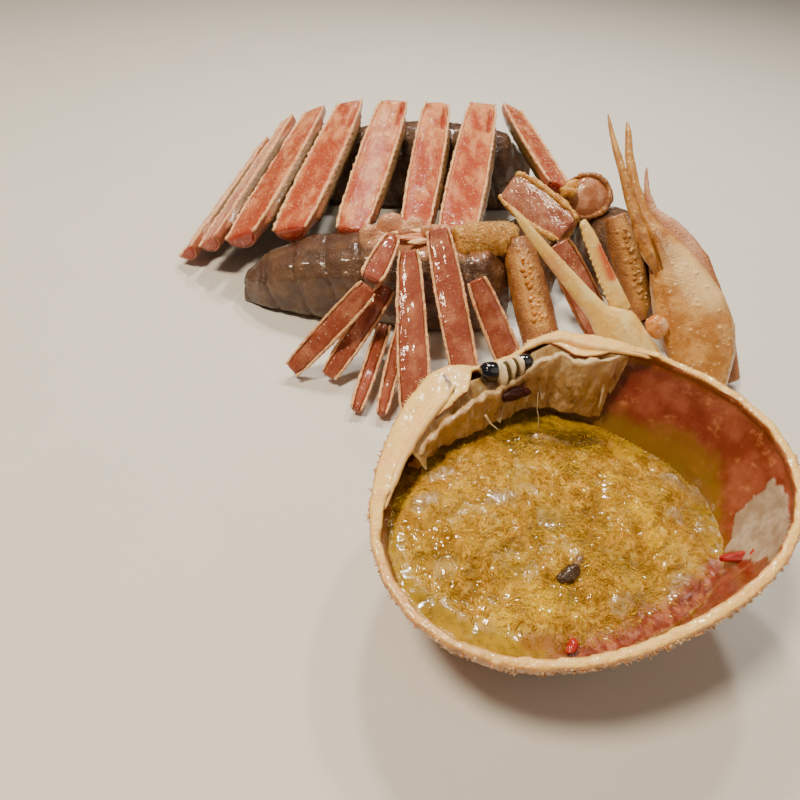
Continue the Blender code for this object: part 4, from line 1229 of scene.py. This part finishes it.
    def add_fibres(self, skin: Skin, weight: Array, bright: Array) -> None:
        """Lay short curved fibres over the contents.

        Args:
            skin: The contents.
            weight: How many fibres each point should carry.
            bright: How bright each point is.
        """
        draw = np.random.default_rng(SEED + 3)
        count = self.fibres
        picked = draw.choice(len(weight), count, p=weight / weight.sum())
        roots = skin.points[picked]
        bearing = math.pi * 2.2 * waves(roots, 11.0, 91) + 0.6 * draw.normal(size=count)
        flat = np.stack([np.cos(bearing), np.sin(bearing), np.zeros(count)], axis=1)
        normals = skin.normals()[picked]
        flat -= normals * (flat * normals).sum(axis=1, keepdims=True)
        lift = (0.12 + 0.3 * draw.random(count))[:, None]
        reach = (1.1 + 2.4 * draw.random(count) ** 2)[:, None]
        middle = roots + flat * reach * 0.5 + normals * lift * reach
        tips = roots + flat * reach + normals * lift * reach * 0.7
        tips += 0.25 * reach * draw.normal(size=(count, 3))
        paths = np.stack([roots - 0.2 * normals, middle, tips], axis=1)
        thick = 0.08 + 0.07 * draw.random(count)
        tones = 0.05 + 0.5 * draw.random(count) + 0.45 * waves(roots, 7.0, 93) + 0.9 * bright[picked]
        fuzz = Soft("fuzz", (0.56, 0.26, 0.008), (1.0, 0.64, 0.02), roughness=0.6, coat=0.05, grain=3.0).build()
        radii = np.stack([thick, thick], axis=1)
        add_strands("contents_fibres", paths, radii, np.clip(tones, 0.0, 1.3), fuzz)


@dataclass(frozen=True)
class Thread:
    """One membrane strand: where it starts and ends in the layout, its sag and its thickness at both ends."""

    start: Triple
    end: Triple
    sag: float
    thick: float
    thin: float


THREADS: tuple[Thread, ...] = (
    Thread((50.5, -85.5, 58.5), (52.0, -90.5, 38.0), 1.2, 0.8, 0.3),
    Thread((27.5, -88.0, 44.0), (28.8, -97.5, 33.5), 0.9, 0.16, 0.10),
    Thread((6.0, -104.0, 45.5), (11.5, -107.5, 41.5), 1.4, 0.5, 0.12),
)

# Angle, distance and height of the rolled lips of the two front flaps
LIPS: tuple[tuple[Triple, ...], ...] = (
    ((186, 63.6, 42.5), (176, 60.4, 45.8), (162, 58.0, 48.8), (150, 56.8, 51.0), (141, 56.2, 52.9), (135, 58.0, 54.6)),
    ((104, 62.0, 57.0), (97, 63.4, 60.0), (90, 62.6, 61.4), (84, 60.2, 61.6), (77, 58.4, 62.0), (60, 63.4, 60.6)),
)

# Angle, then distance and height of the upper edge and of the lower edge
DRAPE: tuple[tuple[float, float, float, float, float], ...] = (
    (166, 57.5, 47.5, 52.5, 40.5), (158, 57.0, 48.8, 51.0, 38.5), (148, 56.0, 50.8, 49.0, 37.5),
    (138, 55.5, 52.4, 47.5, 38.0), (128, 57.0, 53.3, 46.5, 39.5), (121, 57.5, 52.0, 46.0, 38.0),
    (115, 53.0, 50.5, 46.5, 42.5), (108, 53.5, 52.0, 49.5, 43.0), (101, 60.5, 56.5, 51.0, 42.0),
    (94, 62.0, 59.6, 52.0, 41.0), (86, 60.0, 60.6, 52.5, 40.0), (78, 57.5, 61.0, 52.5, 38.5),
    (71.5, 59.0, 60.6, 53.5, 37.0), (69.5, 60.0, 60.4, 56.0, 40.0), (67.0, 61.0, 60.2, 60.0, 57.0),
)

EYE_PLATES: tuple[Lump, ...] = (
    Lump((11.8, -91.2, 54.2), (1.6, 3.9, 4.8), 24, 1.4), Lump((13.4, -90.2, 54.9), (0.7, 3.6, 4.5), 24, -0.6),
    Lump((15.0, -89.2, 55.2), (1.6, 3.6, 4.6), 24, 1.4), Lump((16.7, -88.2, 55.6), (0.7, 3.1, 4.0), 24, -0.6),
    Lump((18.4, -87.3, 55.8), (1.6, 3.0, 3.8), 24, 1.4), Lump((12.5, -86.5, 54.0), (5.0, 2.0, 3.0), 24, 1.3),
)

# Dark red lumps set in the mouth opening. Their near-black red is partly their own colour and partly painted shade of
# the opening.
MOUTH: tuple[Lump, ...] = (
    Lump((16.8, -95.0, 48.2), (4.8, 1.8, 2.6), 25, 0.1), Lump((20.5, -92.4, 47.4), (3.2, 1.5, 2.0), 10, 0.3),
)


@dataclass
class MouthParts:
    """The torn membranes at the bowl's front and the two eyes."""

    voxel: float = 0.58
    eye_voxel: float = 0.3
    eyes: tuple[tuple[str, Triple, Triple], ...] = (
        ("eye_left", (9.5, -90.0, 54.5), (-0.93, -0.25, 0.12)),
        ("eye_right", (18.9, -85.5, 55.4), (0.9, 0.25, 0.1)),
    )
    eye_growth: tuple[float, float] = (1.4, 1.2)
    drape_steps: tuple[int, int] = (150, 26)
    drape_thickness: float = 0.5
    lip_steps: int = 60
    lip_radius: float = 1.25
    thread_steps: int = 9

    def build(self) -> None:
        """Grow and dress the membranes and the eyes."""
        frame = Skin("mouth_frame", self.voxel, 2)
        frame.push(0.9 * layered(frame.points * (1.0, 1.0, 0.6), 4.0, 37) + 0.3 * layered(frame.points, 1.6, 39, 2))
        # Mouth patch: partly the mouth's own dark red, partly painted shade of the opening.
        mouth = near(frame.laid, (15.5, -95.5, 48.5), 4.6, (20.5, -91.5, 49.5))
        pale = 0.8 * ease_between(frame.points[:, 2], 50.0, 56.0)
        frame.paint(mouth=mouth, pale=pale, tone=0.0)
        membrane = Membrane("mouth_skin").build()
        frame.finish(membrane)
        self.hang_drape(membrane)
        self.set_eyes()
        plates = Soft("eye_plate", (0.10, 0.065, 0.02), (0.86, 0.70, 0.46), roughness=0.3).build()
        add_lumps("eye_plates", EYE_PLATES, plates, 0.15)
        # Near-black red, partly painted shade inside the mouth opening.
        throat = Soft("mouth_inside", (0.035, 0.004, 0.003), (0.20, 0.014, 0.009), roughness=0.5, coat=0.1).build()
        add_lumps("mouth_inside", MOUTH, throat, 0.3)
        self.roll_lips()
        self.hang_threads()

    def set_eyes(self) -> None:
        """Grow the eyes: each a cornea on a banded stalk."""
        eye = Eye("eye_finish").build()
        for (name, place, direction), growth in zip(self.eyes, self.eye_growth):
            skin = Skin(name, self.eye_voxel, 24)
            middle = np.array(place) + LAYOUT_SHIFT
            skin.points = middle + (skin.points - middle) * growth
            way = np.array(direction) / np.linalg.norm(direction)
            out = (skin.laid - np.array(place)) @ way + 0.35 * layered(skin.points, 2.4, 131)
            band = strongest(np.exp(-(((out + 2.0) / 0.35) ** 2)), np.exp(-(((out + 3.6) / 0.4) ** 2)))
            skin.paint(cornea=ease_between(out, -0.3, 0.2), band=np.clip(1.3 * band, 0.0, 1.0))
            skin.finish(eye)

    def roll_lips(self) -> None:
        """Lay a soft uneven roll along the inner edge of each front flap."""
        steps = np.linspace(0.0, 1.0, self.lip_steps)
        paths = []
        radii = []
        for index, lip in enumerate(LIPS):
            table = np.array(lip)
            along = np.linspace(0.0, 1.0, len(table))
            angle, reach, height = (np.interp(steps, along, table[:, column]) for column in range(3))
            turn = np.radians(angle)
            path = np.stack([reach * np.cos(turn), reach * np.sin(turn), height], axis=1)
            path = BOWL_MIDDLE + path + LAYOUT_SHIFT
            for _ in range(3):
                path[1:-1] = (path[:-2] + path[1:-1] + path[2:]) / 3.0
            path += 0.5 * np.stack([layered(path, 6.0, 181 + index + axis) for axis in range(3)], axis=1)
            paths.append(path)
            swell = np.sin(math.pi * steps[:-1]) ** 0.5
            radii.append(0.35 + self.lip_radius * swell * (1.0 + 0.4 * layered(path[:-1], 5.0, 191 + index)))
        cream = Soft("flap_lip", (0.90, 0.46, 0.14), (1.0, 0.68, 0.28), roughness=0.34, coat=0.4, grain=4.0).build()
        tones = np.full(len(LIPS), 0.55)
        add_strands("flap_lips", np.array(paths), np.array(radii), tones, cream, 14)

    def hang_drape(self, material: Material) -> None:
        """Hang a thin folded skin with a torn lower edge from the bowl's front flaps.

        Args:
            material: Its finish.
        """
        wide, tall = self.drape_steps
        table = np.array(DRAPE[::-1])
        angle = np.linspace(table[0, 0], table[-1, 0], wide)
        edges = [np.interp(angle, table[:, 0], table[:, column])[:, None] for column in range(1, 5)]
        upper_reach, upper_height, lower_reach, lower_height = edges
        none = 0.0 * angle
        torn = waves(np.stack([angle, none, none], axis=1), 4.0, 161)
        torn += 0.6 * waves(np.stack([angle, none + 5.0, none], axis=1), 1.7, 163)
        down = np.linspace(0.0, 1.0, tall)[None, :] * np.clip(0.78 + 0.34 * torn, 0.3, 1.1)[:, None]
        reach = upper_reach + (lower_reach - upper_reach) * down**0.8
        height = upper_height + (lower_height - upper_height) * down
        turn = np.radians(angle)[:, None] + 0.0 * reach
        places = np.stack([reach * np.cos(turn), reach * np.sin(turn), height], axis=2).reshape(-1, 3)
        out = np.stack([np.cos(turn), np.sin(turn), 0.0 * reach], axis=2).reshape(-1, 3)
        places += BOWL_MIDDLE + LAYOUT_SHIFT
        folds = layered(places * (1.0, 1.0, 0.35), 5.0, 167)
        places += out * (1.3 * folds * ease_between(down.reshape(-1), 0.0, 0.25))[:, None]
        thick = self.drape_thickness * (1.0 - 0.6 * down.reshape(-1))[:, None]
        points = np.concatenate([places - out * thick / 2.0, places + out * thick / 2.0])
        hem = 0.75 * ease_between(np.tile(np.linspace(0.0, 1.0, tall), wide), 0.8, 1.0)
        faces = self.sheet_faces(wide, tall)
        drape = added_piece("mouth_drape", points, faces, np.tile(hem, 2), material)
        bm = bmesh.new()
        bm.from_mesh(drape.data)
        bmesh.ops.recalc_face_normals(bm, faces=bm.faces)
        bm.to_mesh(drape.data)
        bm.free()

    def sheet_faces(self, wide: int, tall: int) -> Faces:
        """Join two grids of points, one behind the other, to a closed sheet.

        Args:
            wide: How many columns each grid has.
            tall: How many points a column has.

        Returns:
            The faces.
        """
        count = wide * tall
        faces: Faces = []
        for column in range(wide - 1):
            for row in range(tall - 1):
                first = column * tall + row
                faces.append((first, first + tall, first + tall + 1, first + 1))
                faces.append((count + first, count + first + 1, count + first + tall + 1, count + first + tall))
        border = list(range(tall)) + [column * tall + tall - 1 for column in range(1, wide)]
        border += [(wide - 1) * tall + row for row in range(tall - 2, -1, -1)]
        border += [column * tall for column in range(wide - 2, 0, -1)]
        for first, second in zip(border, border[1:] + border[:1]):
            faces.append((second, first, count + first, count + second))
        return faces

    def hang_threads(self) -> None:
        """Hang whitish strands between the folds."""
        steps = np.linspace(0.0, 1.0, self.thread_steps)
        paths = []
        radii = []
        for index, thread in enumerate(THREADS):
            first = np.array(thread.start) + LAYOUT_SHIFT
            last = np.array(thread.end) + LAYOUT_SHIFT
            path = first + (last - first) * steps[:, None]
            path[:, 2] -= thread.sag * 4.0 * steps * (1.0 - steps)
            path += 0.5 * np.stack([waves(path, 3.0, 141 + index + axis) for axis in range(3)], axis=1)
            paths.append(path)
            thick = thread.thick + (thread.thin - thread.thick) * steps[:-1]
            radii.append(thick * (1.0 + 0.3 * waves(path[:-1], 2.0, 151 + index)))
        film = Soft("mouth_strand", (0.60, 0.38, 0.17), (0.84, 0.64, 0.38), clear=0.2, roughness=0.2).build()
        tones = np.full(len(THREADS), 0.6)
        add_strands("mouth_strands", np.array(paths), np.array(radii), tones, film, 8)


@dataclass
class Claws:
    """The two right claws, the split-off half and the wrist bit."""

    voxel: float = 0.58
    finger_ends: tuple[Triple, Triple] = ((96.0, 2.5, 46.3), (85.0, 34.0, 88.0))
    finger_sink: Triple = (1.6, -0.4, -2.6)

    def build(self) -> None:
        """Grow and dress every claw piece."""
        ivory = Granular(
            "claw_ivory", (0.93, 0.56, 0.13), (0.98, 0.76, 0.32), (0.98, 0.86, 0.58), (0.66, 0.26, 0.04),
            roughness=0.30, mottle_size=14.0, depth=0.18,
        ).build()
        tan = Granular(
            "claw_tan", (0.50, 0.205, 0.040), (0.74, 0.40, 0.12), (0.95, 0.68, 0.32), (0.24, 0.075, 0.015),
            flush=(0.30, 0.12, 0.035), depth=0.2, roughness=0.3, coat=0.5,
        ).build()
        orange = Granular(
            "claw_orange", (0.66, 0.18, 0.03), (0.80, 0.36, 0.09), (0.88, 0.62, 0.36), (0.34, 0.07, 0.02),
        ).build()
        pink = Granular(
            "claw_pink", (0.60, 0.27, 0.15), (0.74, 0.43, 0.27), (0.58, 0.22, 0.06), (0.34, 0.10, 0.04), coat=0.6,
            flush=(0.42, 0.15, 0.04),
        ).build()
        table = {
            "claw_a_palm": ivory, "claw_a_finger": ivory, "claw_a_wrist": orange,
            "claw_b_palm": tan, "claw_b_finger": tan, "claw_b_inner": pink,
        }
        for index, (node, material) in enumerate(table.items()):
            skin = Skin(node, self.voxel, 1)
            normals = skin.normals()
            grain = grains(skin.points, 2.6, 61 + index, 0.5, 0.32)
            skin.push(0.32 * grain + 0.25 * layered(skin.points, 9.0, 71 + index), normals)
            if node == "claw_b_finger":
                self.sink_base(skin)
            self.colour(skin, ease_between(grain, 0.2, 0.8))
            skin.finish(material)

    def sink_base(self, skin: Skin) -> None:
        """Round off the finger's lower end and sink it into the palm.

        Args:
            skin: The finger.
        """
        low, high = self.finger_ends
        way = np.array(high) - np.array(low)
        share = (skin.laid - np.array(low)) @ way / way.dot(way)
        axis = np.array(low) + share[:, None] * way + LAYOUT_SHIFT
        slim = ease_between(share, -0.04, 0.24)[:, None]
        skin.points = axis + (skin.points - axis) * (0.25 + 0.75 * slim) + (1.0 - slim) * np.array(self.finger_sink)

    def colour(self, skin: Skin, knob: Array) -> None:
        """Paint the flushes, pale faces, dark blotches and the painted shade where the finger meets the palm, on one
        piece.

        Args:
            skin: The piece.
            knob: How far each point is on a tubercle.
        """
        laid = skin.laid
        flush = pale = shade = np.zeros(len(laid))
        if skin.node == "claw_a_finger":
            flush = near(laid, (65.5, -2.0, 60.0), 4.6, (71.5, -9.5, 50.0)) * (1.0 - knob)
        if skin.node == "claw_a_palm":
            flush = 0.4 * near(laid, (41.0, -11.0, 56.0), 8.0, (44.0, -12.5, 50.0))
        if skin.node == "claw_a_wrist":
            pale = 0.8 * near(laid, (100.0, -20.0, 32.0), 5.0)
        if skin.node == "claw_b_palm":
            pale = 0.75 * near(laid, (105.0, 2.0, 54.0), 13.0, (119.0, -12.0, 44.0))
            # Painted shade on the palm round the finger's base.
            shade = 0.5 * near(laid, (97.0, 12.0, 58.5), 9.0, (99.4, 6.0, 53.8))
        if skin.node == "claw_b_finger":
            low = 1.0 - ease_between(laid[:, 2], 80.0, 95.0)
            shade = 0.6 * ease_between(layered(laid, 3.0, 97), 0.05, 0.3) * low
            # Painted shade at the finger's base, where it sinks into the palm.
            shade = strongest(shade, 0.7 * near(laid, self.finger_ends[0], 11.0))
        if skin.node == "claw_b_inner":
            flush = 0.8 * ease_between(laid[:, 0] + 0.5 * laid[:, 1], 122.0, 128.0)
        skin.paint(knob=knob, flush=flush, pale=pale, shade=shade)


@dataclass(frozen=True)
class TubercleRow:
    """One row of tubercles on an arm: its ends in the layout, count, scatter, size and two colours."""

    node: str
    start: Triple
    end: Triple
    count: int
    spread: float
    size: float
    colours: tuple[Colour, Colour]


AMBER: tuple[Colour, Colour] = ((0.50, 0.17, 0.02), (0.80, 0.38, 0.07))
TAWNY: tuple[Colour, Colour] = ((0.46, 0.20, 0.05), (0.82, 0.50, 0.20))

TUBERCLE_ROWS: tuple[TubercleRow, ...] = (
    TubercleRow("arm_a_shell", (32.3, 17.8, 42.6), (41.3, -8.4, 20.8), 11, 0.4, 1.5, AMBER),
    TubercleRow("arm_a_shell", (35.8, 15.0, 42.0), (44.0, -9.5, 21.0), 12, 0.7, 1.1, AMBER),
    TubercleRow("arm_b_shell", (88.8, 45.2, 49.1), (103.4, 23.3, 16.8), 15, 0.5, 1.3, TAWNY),
    TubercleRow("arm_b_shell", (92.0, 44.0, 46.0), (106.4, 22.0, 14.8), 15, 0.9, 1.0, TAWNY),
)


WRIST_LUMPS: tuple[Lump, ...] = (
    Lump((65.5, 80.5, 51.0), (4.4, 4.4, 4.0), 30, 0.3), Lump((69.0, 87.0, 50.5), (5.2, 4.0, 4.2), 20, 0.7),
    Lump((77.0, 89.5, 48.5), (5.6, 3.4, 3.8), -10, 0.4), Lump((84.5, 85.0, 46.0), (3.4, 4.4, 3.4), 20, 0.8),
)


@dataclass
class Arms:
    """The arms, the arch and the wrists."""

    voxel: float = 0.58
    fuzz: int = 2600

    def build(self) -> None:
        """Grow and dress every arm piece."""
        brown = Granular(
            "arm_brown", (0.30, 0.105, 0.026), (0.46, 0.18, 0.045), (0.78, 0.40, 0.10), (0.12, 0.035, 0.010),
            depth=0.5, mottle_size=8.0,
        ).build()
        arch = Granular(
            "arch_brown", (0.66, 0.27, 0.035), (0.88, 0.50, 0.11), (0.92, 0.62, 0.22), (0.26, 0.09, 0.02),
            depth=0.8, mottle_size=5.0,
        ).build()
        flesh = Flesh("arm_flesh", base=(0.36, 0.10, 0.055), pale=(0.60, 0.27, 0.17), red=(0.22, 0.03, 0.016)).build()
        disc = Flesh(
            "disc_flesh", base=(0.40, 0.14, 0.055), pale=(0.60, 0.30, 0.17), red=(0.24, 0.06, 0.02),
            fleck_and_glint_share=0.15, roughness=0.2,
        ).build()
        shells = ("arm_a_shell", "arm_a_inner_shell", "arm_b_shell", "arm_a_joint", "wrist_a_shell", "wrist_b_shell")
        for index, node in enumerate(shells):
            skin = Skin(node, self.voxel, 1)
            grain = grains(skin.points, 2.0, 81 + index, 0.45, 0.36)
            swell = 0.9 if node.startswith("wrist") or node == "arm_a_joint" else 0.0
            uneven = layered(skin.points, 6.0, 91 + index)
            skin.push(swell + (0.3 + 0.5 * swell) * grain + (0.35 + 1.3 * swell) * uneven)
            laid = skin.laid
            pale = shade = np.zeros(len(laid))
            if node == "arm_a_shell":
                shade = 0.35 * near(laid, (47.0, 1.0, 28.0), 9.0, (40.0, 16.0, 44.0))
            rows = [row for row in TUBERCLE_ROWS if row.node == node]
            for row in rows:
                pale = strongest(pale, 0.75 * near(laid, row.start, 6.5, row.end))
            skin.paint(knob=0.5 * ease_between(grain, 0.25, 0.8), flush=0.0, pale=pale, shade=shade)
            skin.finish(arch if node in ("arm_a_joint", "wrist_a_shell") else brown)
            if node == "arm_a_joint":
                self.add_fuzz(skin)
            if rows:
                self.add_tubercles(skin, rows)
        meats = ("arm_a_flesh", "arm_a_inner_flesh", "arm_b_flesh", "wrist_a_flesh", "wrist_b_flesh")
        for index, node in enumerate(meats):
            skin = Skin(node, self.voxel, 3)
            skin.push(0.3 + 0.45 * layered(skin.points, 6.0, 101 + index))
            skin.paint(rim=0.0, hollow=0.0, bleach=0.4 if node == "wrist_a_flesh" else 0.0)
            skin.finish(disc if node == "wrist_b_flesh" else flesh)
        add_lumps("wrist_granules", WRIST_LUMPS, arch, 0.5)

    def add_tubercles(self, skin: Skin, rows: list[TubercleRow]) -> None:
        """Set rounded tubercles in rows on one arm.

        Args:
            skin: The arm.
            rows: Its rows.
        """
        draw = np.random.default_rng(SEED + 6)
        places = []
        sizes = []
        for row in rows:
            for share in (np.arange(row.count) + 0.5) / row.count:
                aim = np.array(row.start) + (np.array(row.end) - np.array(row.start)) * share
                aim = aim + LAYOUT_SHIFT + row.spread * draw.normal(size=3)
                size = row.size * (0.65 + 0.5 * draw.random())
                places.append(skin.points[np.argmin(np.linalg.norm(skin.points - aim, axis=1))])
                sizes.append(size)
        dark, pale = rows[0].colours
        horn = Soft(skin.node + "_tubercle", dark, pale, roughness=0.28, coat=0.5, grain=1.5).build()
        add_beads(skin.node + "_tubercles", np.array(places), np.array(sizes), horn)

    def add_fuzz(self, skin: Skin) -> None:
        """Cover the arch with fine short bristles.

        Args:
            skin: The arch.
        """
        draw = np.random.default_rng(SEED + 5)
        normals = skin.normals()
        weight = ease_between(normals[:, 2], -0.1, 0.6)
        picked = draw.choice(len(weight), self.fuzz, p=weight / weight.sum())
        ways = normals[picked] + 0.7 * draw.normal(size=(self.fuzz, 3))
        ways /= np.linalg.norm(ways, axis=1, keepdims=True)
        roots = skin.points[picked]
        reach = (0.6 + 0.8 * draw.random(self.fuzz))[:, None]
        paths = np.stack([roots - 0.2 * ways, roots + ways * reach * 0.5, roots + ways * reach], axis=1)
        horn = Soft("bristle", (0.60, 0.28, 0.05), (0.90, 0.58, 0.20), roughness=0.4, coat=0.2).build()
        radii = np.full((self.fuzz, 2), 0.11)
        add_strands("arch_bristles", paths, radii, draw.random(self.fuzz), horn)


CREST_BITS: tuple[Lump, ...] = (
    Lump((-24.0, 22.0, 48.0), (7.0, 2.6, 1.3), 14, 0.3), Lump((-17.0, 25.5, 49.0), (7.0, 2.4, 1.2), -14, 0.8),
    Lump((-10.0, 25.0, 50.5), (5.0, 3.2, 1.4), 25, 0.2), Lump((-19.0, 18.5, 47.6), (6.0, 2.0, 1.2), 22, 1.1),
    Lump((-12.0, 20.5, 51.0), (4.4, 2.0, 1.3), -8, 0.6), Lump((-27.0, 27.5, 47.0), (6.0, 2.4, 1.2), 6, 0.9),
)


@dataclass
class Bodies:
    """The two halves of the body and the bases of the arms, in a dark red-brown that is partly their own colour and
    partly painted shade for the gaps they lie in.
    """

    voxel: float = 1.2
    segment: float = 19.0

    def build(self) -> None:
        """Grow and dress the body pieces."""
        # Painted shade in part: the dark red-brown also stands for the shade between the limbs and fans where the body
        # lies.
        dark = Granular(
            "body_dark_and_shaded", (0.075, 0.022, 0.005), (0.15, 0.062, 0.016), (0.50, 0.25, 0.09), (0.035, 0.012, 0.005),
            flush=(0.74, 0.33, 0.17), mottle_size=9.0, coat=0.6, roughness=0.34, depth=0.7,
        ).build()
        for index, node in enumerate(("body_near", "body_far", "arm_a_base", "arm_b_base")):
            skin = Skin(node, self.voxel, 1)
            normals = skin.normals()
            clear = ease_between(skin.points[:, 2], 0.5, 3.0)
            grain = grains(skin.points, 3.4, 111 + index, 0.5, 0.34)
            craggy = 1.7 * layered(skin.points, 17.0, 121 + index) + 0.5 * layered(skin.points, 5.0, 131 + index)
            laid = skin.laid
            seam = crest = np.zeros(len(laid))
            if node.startswith("body"):
                along = (laid[:, 0] + 0.35 * laid[:, 2] + 400.0) % self.segment
                seam = np.exp(-((np.abs(along - 2.5) / 1.2) ** 2))
            skin.push(clear * (0.6 * grain + craggy - 0.9 * seam), normals)
            if node == "body_near":
                crest = ease_between(skin.points[:, 2], 41.0, 45.0)
            shade = (0.5 * ease_between(-craggy, 0.3, 1.2) + 0.3 * seam) * (1.0 - crest)
            skin.paint(knob=grain * 0.5, flush=0.85 * crest, pale=0.0, shade=shade)
            skin.finish(dark)
        bits = Soft("crest_bit", (0.60, 0.17, 0.07), (0.92, 0.58, 0.30), roughness=0.28, grain=2.4).build()
        add_lumps("crest_bits", CREST_BITS, bits, 0.7)


# Studio


@dataclass(frozen=True)
class SoftLight:
    """One wide area light."""

    name: str
    place: Triple
    aim: Triple
    size: float
    power: float
    colour: Colour

    def build(self) -> None:
        """Hang the light."""
        data = bpy.data.lights.new(self.name, "AREA")
        data.shape = "DISK"
        data.size = self.size
        data.energy = self.power
        data.color = self.colour
        obj = bpy.data.objects.new(self.name, data)
        obj.location = self.place
        way = Vector(self.aim) - Vector(self.place)
        obj.rotation_euler = way.to_track_quat("-Z", "Y").to_euler()
        bpy.context.scene.collection.objects.link(obj)


@dataclass
class Studio:
    """The floor, the lights and the camera."""

    lens: float = 27.72
    sensor: float = 36.0
    nearest: float = 0.01
    farthest: float = 20.0
    place: Triple = (-0.01685, -0.26665, 0.200)
    pitch: float = 47.2
    roll: float = 3.05
    floor_size: float = 6.0
    floor_drop: float = 0.0004
    room_colour: Colour = (1.0, 0.89, 0.74)
    room_strength: float = 0.10
    lights: tuple[SoftLight, ...] = (
        SoftLight("key", (-0.45, -0.20, 1.15), (0.0, -0.02, 0.0), 0.26, 17.0, (1.0, 0.84, 0.60)),
        SoftLight("fill", (0.9, -0.5, 0.9), (0.0, 0.0, 0.0), 1.2, 3.0, (1.0, 0.88, 0.70)),
        SoftLight("back", (-0.16, 0.95, 0.66), (0.0, 0.08, 0.0), 0.06, 0.9, (1.0, 0.90, 0.72)),
        SoftLight("spark_left", (-0.02, 0.48, 0.80), (0.0, -0.12, 0.0), 0.09, 4.5, (1.0, 0.93, 0.80)),
        SoftLight("spark_right", (0.30, 0.50, 0.86), (0.02, -0.12, 0.0), 0.09, 4.5, (1.0, 0.93, 0.80)),
    )

    def build(self) -> None:
        """Set up the floor, the lights, the world and the camera."""
        self.lay_floor()
        for light in self.lights:
            light.build()
        world = bpy.data.worlds.new("soft_room")
        world.use_nodes = True
        room = world.node_tree.nodes["Background"].inputs
        room["Color"].default_value = (*self.room_colour, 1.0)
        room["Strength"].default_value = self.room_strength
        bpy.context.scene.world = world
        self.set_camera()

    def lay_floor(self) -> None:
        """Lay the plain floor under the model."""
        bm = bmesh.new()
        bmesh.ops.create_grid(bm, x_segments=2, y_segments=2, size=self.floor_size / 2)
        bmesh.ops.translate(bm, vec=(0.0, 0.0, -self.floor_drop), verts=bm.verts)
        mesh = bpy.data.meshes.new("studio_floor")
        bm.to_mesh(mesh)
        bm.free()
        mesh.materials.append(Floor("studio_floor").build())
        floor = bpy.data.objects.new("studio_floor", mesh)
        bpy.context.scene.collection.objects.link(floor)

    def set_camera(self) -> None:
        """Place the camera at the photograph's viewing angle."""
        data = bpy.data.cameras.new("view")
        data.lens = self.lens
        data.sensor_width = self.sensor
        data.clip_start = self.nearest
        data.clip_end = self.farthest
        camera = bpy.data.objects.new("view", data)
        turn = Euler((math.radians(self.pitch), 0.0, 0.0)).to_matrix()
        turn = turn @ Matrix.Rotation(math.radians(self.roll), 3, "Z")
        camera.matrix_world = Matrix.Translation(Vector(self.place)) @ turn.to_4x4()
        bpy.context.scene.collection.objects.link(camera)
        bpy.context.scene.camera = camera


class SubAssembly(Protocol):
    """Anything that builds its own pieces."""

    def build(self) -> None:
        """Add the pieces."""


def build_and_report(part: SubAssembly) -> None:
    """Build one sub-assembly and log each piece that it adds.

    Args:
        part: The sub-assembly.
    """
    known = set(bpy.data.objects.keys())
    part.build()
    for name in bpy.data.objects.keys():
        if name not in known:
            LOG.info("%s: %s", type(part).__name__, name)


def main() -> None:
    """Build every sub-assembly around the frame and report each piece."""
    logging.basicConfig(level=logging.INFO, format="%(name)s: %(message)s")
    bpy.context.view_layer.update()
    for part in (SplitLimbs(), ShellBowl(), MouthParts(), Claws(), Arms(), Bodies()):
        build_and_report(part)
    Studio().build()


if __name__ == "__main__":
    FRAME_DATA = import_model()
    FRAME_NODES = FRAME_DATA["nodes"]
    main()
